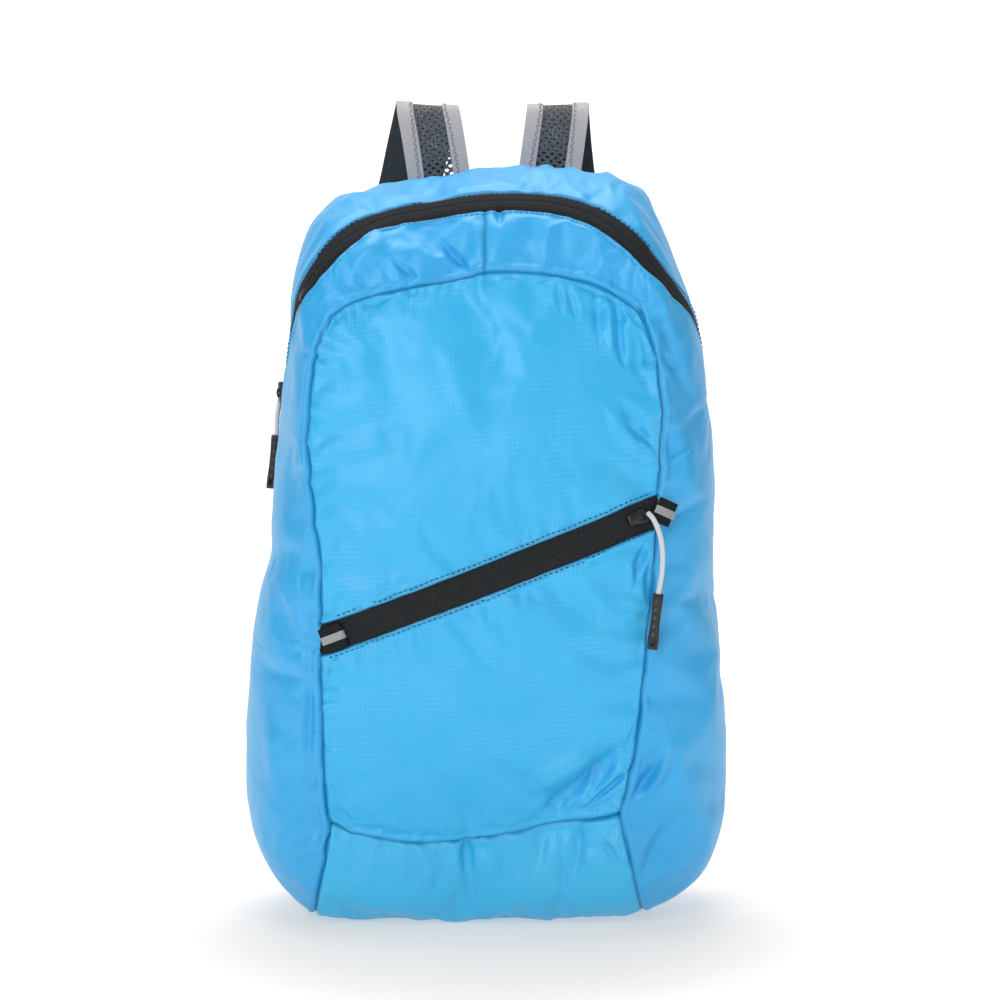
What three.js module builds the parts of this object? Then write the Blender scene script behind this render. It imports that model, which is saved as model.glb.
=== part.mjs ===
// Packable backpack of ripstop nylon, filled and standing upright with its shoulder straps up.
// Millimetres, +Z up, the front panel faces -Y. The origin is the middle of the base.
//
// The bag is one closed skin. A band of sections runs once around it: each section starts at the
// seam of the front panel, passes the crown, which is the outline seen from the front, and ends at
// the seam of the back panel. The two caps are the front and the back panel. Every sewn panel is a
// set of cells of that skin, given the thickness of the cloth and parted from its neighbours.

import * as THREE from 'three';

// Bag
const BAG_WIDTH = 294;
const BAG_HEIGHT = 447;
const BAG_DEPTH = 146;
const FRONT_BULGE = 13;
const BACK_BULGE = 9;
const BACK_INSET = 20;
const BASE_PRESS = 4;

// Cloth and sewing
const CLOTH_WALL = 1.2;
const TAPE_WALL = 0.9;
const SEAM_GAP = 0.36;
const PIECE_GAP = 0.3;

// Zips
const MAIN_ZIP_WIDTH = 13;
const COIL_WIDTH = 4.4;
const COIL_WALL = 1.6;
const SLIDER_WIDTH = 8.4;
const SLIDER_LENGTH = 12.5;
const SLIDER_HEIGHT = 3.6;
const CORD_DIAMETER = 3;
const GRIP_DIAMETER = 5.6;
const GRIP_LENGTH = 32.6;

// End tabs of the pocket zip
const TABS = table('name length start lift rise', [
  ['left', 14, 1.5, 0.25, 0],
  ['right', 11, -1, 0.55, 0.36],
]);
const TAB_WIDTH = 14.5;
const TAB_WEBBING = 1;
const TAB_FOLD = 1.1;
const STRIPE_WIDTH = 4.8;
const STRIPE_WALL = 0.4;

// Shoulder straps
const STRAP_WIDTH = 38;
const STRAP_THICKNESS = 3;
const EDGE_TAPE_WIDTH = 10;
const EDGE_TAPE_THICKNESS = 1;
const LOCK_WIDTH = 31;
const LOCK_LENGTH = 24;
const LOCK_THICKNESS = 5;
const LOCK_BAR = 4.4;
const WEBBING_WIDTH = 20;
const WEBBING_THICKNESS = 1.6;
const ANCHOR_WIDTH = 34;
const ANCHOR_LENGTH = 34;
const ANCHOR_THICKNESS = 2.4;

// Sections of the band, once around the bag as seen from the front, from the lower left corner of
// the front panel up its left side. seam and crown are shares of half the width and of the height;
// zip is where the main zip crosses the section, 0 at the seam and 1 at the crown; round is the
// section's fullness, 2 for an ellipse and more for a boxier turn; steps is the number of cells to
// the next row.
const SECTIONS = table('name seamX seamZ crownX crownZ zip round steps', [
  ['bottom left', -0.625, 0.153, -0.69, 0.004, 1, 3.2, 1],
  ['left toe', -0.631, 0.165, -0.83, 0.03, 1, 3, 1],
  ['left foot', -0.636, 0.182, -0.93, 0.073, 1, 2.7, 1],
  ['left heel', -0.64, 0.212, -0.985, 0.125, 1, 2.4, 2],
  ['left low', -0.645, 0.265, -0.992, 0.215, 1, 2.1, 2],
  ['left belly', -0.65, 0.318, -0.982, 0.3, 1, 2, 2],
  ['pocket low left', -0.655, 0.371, -0.968, 0.36, 1, 2, 2],
  ['pocket high left', -0.652, 0.406, -0.955, 0.395, 1, 2, 2],
  ['left waist', -0.652, 0.49, -0.898, 0.487, 1, 2, 2],
  ['left rib', -0.687, 0.6, -0.856, 0.6, 1.1, 2, 1],
  ['zip left', -0.696, 0.65, -0.842, 0.662, 1.2, 2, 1],
  ['left flank', -0.692, 0.7, -0.822, 0.73, 1.02, 2, 1],
  ['left brow', -0.677, 0.75, -0.79, 0.795, 0.76, 1.9, 1],
  ['left eave', -0.645, 0.788, -0.79, 0.855, 0.42, 1.9, 1],
  ['arch left', -0.604, 0.807, -0.745, 0.918, 0.32, 1.9, 2],
  ['shoulder left', -0.506, 0.828, -0.61, 0.963, 0.4, 1.85, 2],
  ['crest left', -0.36, 0.842, -0.43, 0.972, 0.51, 1.8, 2],
  ['top left', -0.199, 0.853, -0.22, 0.985, 0.53, 1.8, 2],
  ['top middle', -0.01, 0.867, -0.01, 0.996, 0.495, 1.8, 2],
  ['top right', 0.211, 0.867, 0.235, 1, 0.475, 1.8, 2],
  ['crest right', 0.392, 0.856, 0.44, 0.995, 0.42, 1.8, 2],
  ['shoulder right', 0.525, 0.837, 0.61, 0.977, 0.33, 1.85, 2],
  ['arch right', 0.602, 0.818, 0.69, 0.94, 0.31, 1.9, 2],
  ['right brow', 0.666, 0.759, 0.768, 0.87, 0.5, 2, 2],
  ['right flank', 0.69, 0.71, 0.855, 0.796, 0.84, 2, 2],
  ['zip right', 0.686, 0.65, 0.895, 0.7, 1.1, 2, 3],
  ['pocket high right', 0.679, 0.581, 0.93, 0.59, 1, 2, 2],
  ['pocket low right', 0.675, 0.542, 0.932, 0.545, 1, 2, 2],
  ['right waist', 0.649, 0.456, 0.932, 0.445, 1, 2, 2],
  ['right belly', 0.622, 0.375, 0.963, 0.35, 1, 2, 1],
  ['right low', 0.609, 0.318, 0.998, 0.265, 1, 2.1, 1],
  ['right heel', 0.588, 0.265, 0.992, 0.175, 1, 2.4, 1],
  ['right foot', 0.566, 0.22, 0.972, 0.1, 1, 2.7, 1],
  ['right toe', 0.547, 0.187, 0.86, 0.03, 1, 3, 1],
  ['bottom right', 0.527, 0.163, 0.61, 0.003, 1, 3.2, 4],
  ['base right', 0.286, 0.146, 0.33, 0, 1, 3.4, 4],
  ['base middle', -0.05, 0.1255, -0.04, 0, 1, 3.4, 4],
  ['base left', -0.36, 0.124, -0.37, 0, 1, 3.4, 4],
]);
// Depth of the front seam, the crown and the back seam over the height, as shares of the depth.
const LEAN = table('rise front crown back', [
  [0, -0.45, 0, 0.35],
  [0.12, -0.475, 0, 0.37],
  [0.3, -0.525, 0, 0.385],
  [0.5, -0.548, 0, 0.385],
  [0.7, -0.52, 0, 0.38],
  [0.87, -0.43, 0.02, 0.37],
  [1, -0.34, 0.055, 0.355],
]);

// Main folds of the cloth, as lines seen from the front or the back: ends as shares of half the
// width and of the height, reach and depth as shares of the height. A negative depth is a valley.
const FOLDS = table('side fromX fromZ toX toZ reach depth', [
  ['front', 0.5, 0.215, 0.25, 0.135, 0.032, -0.011],
  ['front', 0.56, 0.83, 0.6, 0.72, 0.03, -0.01],
  ['front', 0.3, 0.84, 0.36, 0.76, 0.026, -0.006],
  ['front', 0.57, 0.63, 0.7, 0.53, 0.03, -0.008],
  ['front', -0.2, 0.93, -0.12, 0.87, 0.028, -0.009],
  ['front', -0.45, 0.88, -0.62, 0.83, 0.028, 0.006],
  ['front', 0.93, 0.17, 0.7, 0.11, 0.03, -0.01],
  ['front', -0.02, 0.1, -0.1, 0.03, 0.03, -0.006],
  ['back', -0.3, 0.2, 0.4, 0.32, 0.05, -0.008],
  ['back', 0.5, 0.75, 0.1, 0.6, 0.05, -0.007],
]);

// Middle line of the two shoulder straps, from the top seam of the back up, over and down behind.
// Shares of half the width, of the depth and of the height; width is a share of the strap's width.
const STRAP_PATH = table('leftX rightX back rise width', [
  [-0.211, 0.269, 0.415, 0.993, 1.1],
  [-0.23, 0.281, 0.434, 1.043, 1.06],
  [-0.246, 0.293, 0.458, 1.074, 1],
  [-0.252, 0.295, 0.497, 1.082, 1],
  [-0.259, 0.297, 0.536, 1.071, 1],
  [-0.285, 0.306, 0.57, 1.036, 1],
  [-0.33, 0.333, 0.615, 0.968, 1],
  [-0.422, 0.422, 0.68, 0.858, 1],
  [-0.558, 0.558, 0.73, 0.722, 1],
  [-0.66, 0.66, 0.74, 0.591, 0.96],
  [-0.714, 0.714, 0.71, 0.485, 0.84],
]);
const STRAP_SEAT = { left: -0.205, right: 0.263 };
const STRAP_TILT = { left: -0.06, right: 0.03 };
const ANCHOR_SEAT = { side: 0.7, rise: 0.075 };
const STEPS_PER_ROW = 3;
const STRAP_TURN = 6.5;
const STRAP_TURNS = 3;

// Free cords: points chosen by hand, from the slider to the top of the grip, as distances from
// the middle of the slider.
const POCKET_CORD = [
  [6.3, -3.2, 3.4], [9.2, -6.4, 0.2], [11.9, -7.8, -5.7], [13.7, -7.8, -12.2], [14.6, -7, -21.7],
  [14.2, -6, -31.2], [13.2, -5.3, -38.2], [12.4, -5, -42.8],
];
const MAIN_CORD = [
  [-2.6, 2.9, -5.9], [-3.3, 4.7, -9.5], [-4.1, 6.9, -13.7], [-4.6, 9.3, -18.2], [-4.8, 11.3, -22.7],
  [-4.9, 12.7, -26.5],
];
const CORD_HANG = { pocket: [-3.4, 0.6, -32.4], main: [-3.4, 0, -32.4] };

// Colours
const SKY_BLUE = 0x55b4ec;
const ZIP_BLACK = 0x1d2124;
const CORD_GREY = 0xc9ccd0;
const GRIP_BLACK = 0x16181a;
const STRIPE_GREY = 0x8d9193;
const NET_GREY = 0x3f4347;
const EDGE_GREY = 0xaaa7ad;

const up = new THREE.Vector3(0, 0, 1);
const group = new THREE.Group();
const cordNodes = new Set();

function table(columns, rows) {
  const names = columns.split(' ');
  return rows.map((row) => Object.fromEntries(names.map((name, i) => [name, row[i]])));
}

function vec(x, y, z) {
  return new THREE.Vector3(x, y, z);
}

function mix(a, b, share) {
  return a + (b - a) * share;
}

function material(color, roughness, metalness = 0) {
  return new THREE.MeshStandardMaterial({ color, roughness, metalness });
}

function addMesh(name, geometry, finish) {
  const mesh = new THREE.Mesh(geometry, finish);
  mesh.name = name;
  group.add(mesh);
  return mesh;
}

// Depth at a height, between the rows of the lean table.
function lean(column, z) {
  const rise = THREE.MathUtils.clamp(z / BAG_HEIGHT, 0, 1);
  const after = Math.max(1, LEAN.findIndex((row) => row.rise >= rise));
  const low = LEAN[after - 1];
  const high = LEAN[after];
  const share = THREE.MathUtils.smoothstep(rise, low.rise, high.rise);
  const even = (rise - low.rise) / (high.rise - low.rise);
  return BAG_DEPTH * mix(low[column], high[column], 0.5 * (share + even));
}

// Sections of the band

const HALF_WIDTH = BAG_WIDTH / 2;
const rowOf = Object.fromEntries(SECTIONS.map((row, i) => [row.name, i]));
const seamLoop = loopOf((row) => vec(row.seamX * HALF_WIDTH, 0, row.seamZ * BAG_HEIGHT));
const crownLoop = loopOf((row) => vec(row.crownX * HALF_WIDTH, 0, row.crownZ * BAG_HEIGHT));
const shareLoop = loopOf((row) => vec(row.zip, row.round, 0));

function loopOf(pick) {
  return new THREE.CatmullRomCurve3(SECTIONS.map(pick), true, 'centripetal');
}

const stations = [];
const stationOf = {};
for (const row of SECTIONS) {
  stationOf[row.name] = stations.length;
  for (let step = 0; step < row.steps; step += 1) {
    stations.push((rowOf[row.name] + step / row.steps) / SECTIONS.length);
  }
}

const LEFT_CELLS = stationOf['arch left'];
const TOP_CELLS = stationOf['arch right'] - LEFT_CELLS;
const POCKET_LOW = stationOf['pocket low left'];
const POCKET_HIGH = stationOf['pocket high left'];

// Columns across the band: the front strip, two for the halves of the main zip, the rear strip.
const FRONT_COLUMNS = 3;
const REAR_COLUMNS = 5;
const ZIP_FRONT = FRONT_COLUMNS;
const ZIP_MIDDLE = FRONT_COLUMNS + 1;
const ZIP_REAR = FRONT_COLUMNS + 2;
const LAST_COLUMN = ZIP_REAR + REAR_COLUMNS;
const QUARTER_POINTS = 12;
const BACK_ROUND = 2.6;
const ZIP_FADE = 3;

// The back seam lies inside the crown, towards a core that keeps its corners round.
function backSeam(crown) {
  const core = vec(
    THREE.MathUtils.clamp(crown.x, -0.42 * HALF_WIDTH, 0.42 * HALF_WIDTH),
    0,
    THREE.MathUtils.clamp(crown.z, 0.14 * BAG_HEIGHT, 0.86 * BAG_HEIGHT),
  );
  return crown.clone().add(core.sub(crown).setLength(BACK_INSET));
}

// One section as a fine line from the front seam over the crown to the back seam.
function sectionLine(share) {
  const seam = seamLoop.getPoint(share);
  const crown = crownLoop.getPoint(share);
  crown.z -= crown.z < BASE_PRESS ? BASE_PRESS : 0;
  const back = backSeam(crown);
  const fullness = shareLoop.getPoint(share).y;
  seam.y = lean('front', seam.z);
  crown.y = lean('crown', crown.z);
  back.y = lean('back', back.z);
  const line = [];
  const turn = (from, round, i) => {
    const angle = (i / QUARTER_POINTS) * (Math.PI / 2);
    const outward = Math.sin(angle) ** (2 / round);
    const inward = 1 - Math.cos(angle) ** (2 / round);
    const point = from.clone().lerp(crown, outward);
    point.y = mix(from.y, crown.y, inward);
    point.z = Math.max(point.z, 0);
    line.push(point);
  };
  for (let i = 0; i <= QUARTER_POINTS; i += 1) {
    turn(seam, fullness, i);
  }
  for (let i = QUARTER_POINTS - 1; i >= 0; i -= 1) {
    turn(back, BACK_ROUND, i);
  }
  return line;
}

// Points of a line at given distances along it.
function pointsAlong(line, distances) {
  const reached = [0];
  for (let i = 1; i < line.length; i += 1) {
    reached.push(reached[i - 1] + line[i].distanceTo(line[i - 1]));
  }
  const total = reached[reached.length - 1];
  return distances(total, reached).map((distance) => {
    const wanted = THREE.MathUtils.clamp(distance, 0, total);
    const after = Math.max(1, reached.findIndex((value) => value >= wanted - 1e-9));
    const span = reached[after] - reached[after - 1];
    return line[after - 1].clone().lerp(line[after], (wanted - reached[after - 1]) / span);
  });
}

// How far a station takes part in the main zip: 1 along it, fading to 0 past its ends.
function zipWeight(station) {
  const first = stationOf['zip left'];
  const last = stationOf['zip right'];
  const past = Math.max(first - station, station - last, 0);
  return THREE.MathUtils.clamp(1 - past / ZIP_FADE, 0, 1);
}

function bandSection(station) {
  const share = stations[station];
  const line = sectionLine(share);
  const weight = zipWeight(station);
  const zipShare = shareLoop.getPoint(share).x;
  return pointsAlong(line, (total, reached) => {
    const middle = zipShare * reached[QUARTER_POINTS];
    const distances = [];
    for (let column = 0; column <= LAST_COLUMN; column += 1) {
      const even = (column / LAST_COLUMN) * total;
      let fitted = middle;
      if (column <= ZIP_FRONT) {
        fitted = ((middle - MAIN_ZIP_WIDTH / 2) * column) / ZIP_FRONT;
      } else if (column >= ZIP_REAR) {
        const rear = middle + MAIN_ZIP_WIDTH / 2;
        fitted = mix(rear, total, (column - ZIP_REAR) / REAR_COLUMNS);
      }
      distances.push(mix(even, fitted, weight));
    }
    return distances;
  });
}

// The skin: points, cells and normals

const points = [];
const bandId = stations.map((share, station) => bandSection(station).map((point) => points.push(point) - 1));

function fillCap(rim, rows, columns, straightRows, place) {
  const grid = [];
  for (let row = 0; row <= rows; row += 1) {
    grid.push(new Array(columns + 1).fill(null));
    grid[row][0] = rim.left(row);
    grid[row][columns] = rim.right(row);
  }
  for (let column = 0; column <= columns; column += 1) {
    grid[0][column] = rim.bottom(column);
    grid[rows][column] = rim.top(column);
  }
  const addPoint = (row, column, flat) => {
    grid[row][column] = points.push(place(flat, column / columns, row / rows)) - 1;
  };
  for (const row of straightRows) {
    for (let column = 1; column < columns; column += 1) {
      addPoint(row, column, points[grid[row][0]].clone().lerp(points[grid[row][columns]], column / columns));
    }
  }
  const lines = [0, ...straightRows, rows];
  for (let i = 1; i < lines.length; i += 1) {
    fillBetween(grid, lines[i - 1], lines[i], columns, addPoint);
  }
  return grid;
}

// Points of a four-sided patch, blended from its sides and corners.
function fillBetween(grid, low, high, columns, addPoint) {
  const at = (row, column) => points[grid[row][column]];
  for (let row = low + 1; row < high; row += 1) {
    for (let column = 1; column < columns; column += 1) {
      const u = column / columns;
      const v = (row - low) / (high - low);
      const flat = at(low, column).clone().lerp(at(high, column), v);
      flat.add(at(row, 0).clone().lerp(at(row, columns), u));
      flat.sub(at(low, 0).clone().lerp(at(low, columns), u).multiplyScalar(1 - v));
      flat.sub(at(high, 0).clone().lerp(at(high, columns), u).multiplyScalar(v));
      addPoint(row, column, flat);
    }
  }
}

// Fullness over a cap, 0 at its rim and 1 in its middle.
function fullness(u, v) {
  return (1 - Math.abs(2 * u - 1) ** 2.4) * (1 - Math.abs(2 * v - 1) ** 2.4);
}

function rimOf(column) {
  const right = stationOf['bottom right'];
  return {
    left: (row) => bandId[row][column],
    right: (row) => bandId[right - row][column],
    top: (step) => bandId[LEFT_CELLS + step][column],
    bottom: (step) => bandId[(stations.length - step) % stations.length][column],
  };
}

const POCKET_MIDDLE = POCKET_LOW + 1;
const pocketLines = [POCKET_LOW, POCKET_MIDDLE, POCKET_HIGH];
const frontGrid = fillCap(rimOf(0), LEFT_CELLS, TOP_CELLS, pocketLines, (flat, u, v) => {
  flat.y = lean('front', flat.z) - FRONT_BULGE * fullness(u, v);
  return flat;
});
const backGrid = fillCap(rimOf(LAST_COLUMN), LEFT_CELLS, TOP_CELLS, [], (flat, u, v) => {
  flat.y = lean('back', flat.z) + BACK_BULGE * fullness(u, v);
  return flat;
});

// Cells are four point numbers, anticlockwise seen from outside.
function bandCells(fromStation, toStation, fromColumn, toColumn) {
  const cells = [];
  for (let station = fromStation; station < toStation; station += 1) {
    const here = bandId[station % stations.length];
    const next = bandId[(station + 1) % stations.length];
    for (let column = fromColumn; column < toColumn; column += 1) {
      cells.push([here[column], next[column], next[column + 1], here[column + 1]]);
    }
  }
  return cells;
}

function capCells(grid, fromRow, toRow, facesFront) {
  const cells = [];
  for (let row = fromRow; row < toRow; row += 1) {
    for (let column = 0; column < TOP_CELLS; column += 1) {
      const [low, high] = [grid[row], grid[row + 1]];
      const cell = [low[column], low[column + 1], high[column + 1], high[column]];
      cells.push(facesFront ? cell : cell.reverse());
    }
  }
  return cells;
}

function cellNormals(cells) {
  const normals = points.map(() => vec(0, 0, 0));
  for (const cell of cells) {
    const [a, b, c, d] = cell.map((id) => points[id]);
    const normal = c.clone().sub(a).cross(d.clone().sub(b));
    cell.forEach((id) => normals[id].add(normal));
  }
  return normals.map((normal) => normal.normalize());
}

const wholeSkin = [
  ...bandCells(0, stations.length, 0, LAST_COLUMN),
  ...capCells(frontGrid, 0, LEFT_CELLS, true),
  ...capCells(backGrid, 0, LEFT_CELLS, false),
];

// Push the folds into the skin, each along the line it follows.
function foldSkin(normals) {
  points.forEach((point, id) => {
    for (const fold of FOLDS) {
      const onSide = fold.side === 'front' ? normals[id].y < 0.2 : normals[id].y > 0.5;
      const from = vec(fold.fromX * HALF_WIDTH, 0, fold.fromZ * BAG_HEIGHT);
      const to = vec(fold.toX * HALF_WIDTH, 0, fold.toZ * BAG_HEIGHT);
      const flat = vec(point.x, 0, point.z);
      const nearest = new THREE.Line3(from, to).closestPointToPoint(flat, true, vec(0, 0, 0));
      const away = nearest.distanceTo(flat) / (fold.reach * BAG_HEIGHT);
      if (onSide && point.z > BASE_PRESS) {
        point.addScaledVector(normals[id], fold.depth * BAG_HEIGHT * Math.exp(-away * away));
      }
    }
  });
}

foldSkin(cellNormals(wholeSkin));
const normals = cellNormals(wholeSkin);

// Panels

// A set of cells as one closed sheet: its outer face lies on the skin, raised by lift, and its
// edges stand back from the seams by half the gap.
function sheet(cells, wall, lift = 0) {
  const edges = new Map();
  for (const cell of cells) {
    cell.forEach((id, i) => edges.set(`${id}_${cell[(i + 1) % 4]}`, [id, cell[(i + 1) % 4]]));
  }
  const rim = [...edges.values()].filter(([a, b]) => !edges.has(`${b}_${a}`));
  const shift = new Map();
  for (const [a, b] of rim) {
    for (const id of [a, b]) {
      const along = points[b].clone().sub(points[a]);
      const inward = normals[id].clone().cross(along).normalize();
      shift.set(id, [...(shift.get(id) ?? []), inward]);
    }
  }
  const numberOf = new Map();
  const outer = [];
  const inner = [];
  for (const id of new Set(cells.flat())) {
    numberOf.set(id, outer.length);
    const edge = points[id].clone().add(miter(shift.get(id), SEAM_GAP / 2));
    edge.z = Math.max(edge.z, 0);
    outer.push(edge.clone().addScaledVector(normals[id], lift));
    inner.push(edge.clone().addScaledVector(normals[id], lift - wall));
  }
  const all = [...outer, ...inner];
  const under = outer.length;
  const faces = [];
  for (const cell of cells) {
    const [a, b, c, d] = cell.map((id) => numberOf.get(id));
    const split = outer[a].distanceTo(outer[c]) <= outer[b].distanceTo(outer[d]);
    const halves = split ? [[a, b, c], [a, c, d]] : [[b, c, d], [b, d, a]];
    for (const [p, q, r] of halves) {
      faces.push([p, q, r], [under + r, under + q, under + p]);
    }
  }
  for (const [from, to] of rim) {
    const a = numberOf.get(from);
    const b = numberOf.get(to);
    faces.push([b, a, under + a], [b, under + a, under + b]);
  }
  return solid(all, faces);
}

function miter(inwards, distance) {
  if (!inwards) {
    return vec(0, 0, 0);
  }
  const first = inwards[0];
  const last = inwards[inwards.length - 1];
  const open = Math.max(0.3, 1 + first.dot(last));
  return first.clone().add(last).multiplyScalar(distance / open);
}

function solid(vertices, faces) {
  const geometry = new THREE.BufferGeometry();
  const numbers = vertices.flatMap((vertex) => vertex.toArray());
  geometry.setAttribute('position', new THREE.Float32BufferAttribute(numbers, 3));
  geometry.setIndex(faces.flat());
  geometry.computeVertexNormals();
  return geometry;
}

const zipLeft = stationOf['zip left'];
const zipRight = stationOf['zip right'];
const topMiddle = stationOf['top middle'];
const bottomRight = stationOf['bottom right'];
const cloth = () => material(SKY_BLUE, 0.55);
const zipTape = () => material(ZIP_BLACK, 0.8);

const panels = {
  front_panel_upper: capCells(frontGrid, POCKET_HIGH, LEFT_CELLS, true),
  front_panel_lower: capCells(frontGrid, 0, POCKET_LOW, true),
  gusset_left: [
    ...bandCells(0, zipLeft, 0, LAST_COLUMN),
    ...bandCells(zipLeft, topMiddle, 0, ZIP_FRONT),
  ],
  gusset_right: [
    ...bandCells(topMiddle, zipRight, 0, ZIP_FRONT),
    ...bandCells(zipRight, bottomRight, 0, LAST_COLUMN),
  ],
  top_panel: bandCells(zipLeft, zipRight, ZIP_REAR, LAST_COLUMN),
  bottom_panel: bandCells(bottomRight, stations.length, 0, LAST_COLUMN),
  back_panel: capCells(backGrid, 0, LEFT_CELLS, false),
};
for (const [name, cells] of Object.entries(panels)) {
  addMesh(name, sheet(cells, CLOTH_WALL), cloth());
}

// Zips

const tapes = {
  main_zip_tape_front: bandCells(zipLeft, zipRight, ZIP_FRONT, ZIP_MIDDLE),
  main_zip_tape_rear: bandCells(zipLeft, zipRight, ZIP_MIDDLE, ZIP_REAR),
  pocket_zip_tape_lower: capCells(frontGrid, POCKET_LOW, POCKET_MIDDLE, true),
  pocket_zip_tape_upper: capCells(frontGrid, POCKET_MIDDLE, POCKET_HIGH, true),
};
for (const [name, cells] of Object.entries(tapes)) {
  addMesh(name, sheet(cells, TAPE_WALL), zipTape());
}

// A flat strip swept along a line: each section is a rectangle across the way it runs. Its upper
// side is parted at the given distances from both edges, so that strips laid on it follow it.
function ribbon(sections, part = null) {
  const vertices = [];
  const faces = [];
  for (const { centre, across, face, width, thickness } of sections) {
    const corners = [[-1, -1], [1, -1], [1, 1], [-1, 1]];
    if (part) {
      corners.splice(3, 0, [1 - (2 * part) / width, 1], [(2 * part) / width - 1, 1]);
    }
    for (const [side, level] of corners) {
      const corner = centre.clone().addScaledVector(across, (side * width) / 2);
      vertices.push(corner.addScaledVector(face, (level * thickness) / 2));
    }
  }
  const count = vertices.length / sections.length;
  for (let i = 0; i < sections.length - 1; i += 1) {
    const here = count * i;
    const next = here + count;
    for (let k = 0; k < count; k += 1) {
      const l = (k + 1) % count;
      faces.push([here + k, next + k, next + l], [here + k, next + l, here + l]);
    }
  }
  const end = count * (sections.length - 1);
  for (let k = 1; k < count - 1; k += 1) {
    faces.push([0, k, k + 1], [end, end + k + 1, end + k]);
  }
  return solid(vertices, faces);
}

// Frames along a line of points: across is square to the run, face is the outer side.
function framesAlong(line, acrossAt) {
  return line.map((centre, i) => {
    const before = line[Math.max(0, i - 1)];
    const after = line[Math.min(line.length - 1, i + 1)];
    const run = after.clone().sub(before).normalize();
    const wanted = acrossAt(i / (line.length - 1), i);
    const across = wanted.clone().addScaledVector(run, -wanted.dot(run)).normalize();
    return { centre, run, across, face: across.clone().cross(run) };
  });
}

// The coil lies behind the meeting edges of the tapes.
function coilBehind(ids) {
  const depth = TAPE_WALL + 1.5 * PIECE_GAP + COIL_WALL / 2;
  const line = ids.map((id) => points[id].clone().addScaledVector(normals[id], -depth));
  const frames = framesAlong(line, (share, i) => normals[ids[i]].clone().cross(runAt(ids, i)));
  return ribbon(frames.map((frame) => ({ ...frame, width: COIL_WIDTH, thickness: COIL_WALL })));
}

function runAt(ids, i) {
  const before = points[ids[Math.max(0, i - 1)]];
  const after = points[ids[Math.min(ids.length - 1, i + 1)]];
  return after.clone().sub(before).normalize();
}

const mainZipIds = [];
for (let station = zipLeft + 1; station < zipRight; station += 1) {
  mainZipIds.push(bandId[station][ZIP_MIDDLE]);
}
const pocketZipIds = frontGrid[POCKET_MIDDLE].slice(1, TOP_CELLS);
addMesh('main_zip_coil', coilBehind(mainZipIds), zipTape());
addMesh('pocket_zip_coil', coilBehind(pocketZipIds), zipTape());

// Slider: a moulded body, wide at its nose, that sits on the closed tapes.
function sliderGeometry() {
  const nose = SLIDER_WIDTH / 2;
  const tail = nose * 0.72;
  const shape = new THREE.Shape();
  shape.moveTo(-nose, -SLIDER_LENGTH * 0.5);
  shape.lineTo(nose, -SLIDER_LENGTH * 0.5);
  shape.lineTo(nose, SLIDER_LENGTH * 0.12);
  shape.lineTo(tail, SLIDER_LENGTH * 0.5);
  shape.lineTo(-tail, SLIDER_LENGTH * 0.5);
  shape.lineTo(-nose, SLIDER_LENGTH * 0.12);
  shape.closePath();
  return new THREE.ExtrudeGeometry(shape, { depth: SLIDER_HEIGHT, bevelEnabled: false });
}

// Put a piece on the skin: its own Z along the skin's normal and its Y along the run.
function seatOnSkin(mesh, from, to, share) {
  const out = normals[from].clone().lerp(normals[to], share).normalize();
  const run = points[to].clone().sub(points[from]);
  const side = run.clone().cross(out).normalize();
  const ahead = out.clone().cross(side);
  mesh.quaternion.setFromRotationMatrix(new THREE.Matrix4().makeBasis(side, ahead, out));
  mesh.position.copy(points[from]).addScaledVector(run, share).addScaledVector(out, PIECE_GAP);
}

const mainSlider = addMesh('main_zip_slider', sliderGeometry(), material(GRIP_BLACK, 0.45, 0.2));
seatOnSkin(mainSlider, mainZipIds[0], bandId[zipLeft][ZIP_MIDDLE], 0.45);
const pocketSlider = addMesh('pocket_zip_slider', sliderGeometry(), material(GRIP_BLACK, 0.45, 0.2));
const lastPocket = pocketZipIds.length - 1;
seatOnSkin(pocketSlider, pocketZipIds[lastPocket], pocketZipIds[lastPocket - 1], 0);

// Pull cords and their grips
function cordGeometry(line) {
  const round = new THREE.Shape();
  round.absarc(0, 0, CORD_DIAMETER / 2, 0, 2 * Math.PI);
  const path = new THREE.CatmullRomCurve3(line);
  const steps = Math.round(path.getLength() / (1.5 * CORD_DIAMETER));
  const sweep = { steps, curveSegments: 4, extrudePath: path, bevelEnabled: false };
  return new THREE.ExtrudeGeometry(round, sweep);
}

function gripGeometry() {
  const radius = GRIP_DIAMETER / 2;
  const chamfer = radius * 0.25;
  const outline = [
    new THREE.Vector2(0, 0), new THREE.Vector2(radius - chamfer, 0), new THREE.Vector2(radius, chamfer),
    new THREE.Vector2(radius, GRIP_LENGTH - chamfer), new THREE.Vector2(radius - chamfer, GRIP_LENGTH),
    new THREE.Vector2(0, GRIP_LENGTH),
  ];
  return new THREE.LatheGeometry(outline, 10);
}

function addPull(name, slider, steps, hang) {
  const line = steps.map((step) => vec(...step).add(slider.position));
  addMesh(`${name}_pull_cord`, cordGeometry(line), material(CORD_GREY, 0.85));
  const grip = addMesh(`${name}_pull_grip`, gripGeometry(), material(GRIP_BLACK, 0.55));
  const down = vec(...hang).normalize();
  grip.quaternion.setFromUnitVectors(vec(0, 1, 0), down);
  grip.position.copy(line[line.length - 1]).addScaledVector(down, 2 * PIECE_GAP);
  cordNodes.add(`${name}_pull_cord`).add(`${name}_pull_grip`);
}

addPull('main_zip', mainSlider, MAIN_CORD, CORD_HANG.main);
addPull('pocket_zip', pocketSlider, POCKET_CORD, CORD_HANG.pocket);

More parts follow.
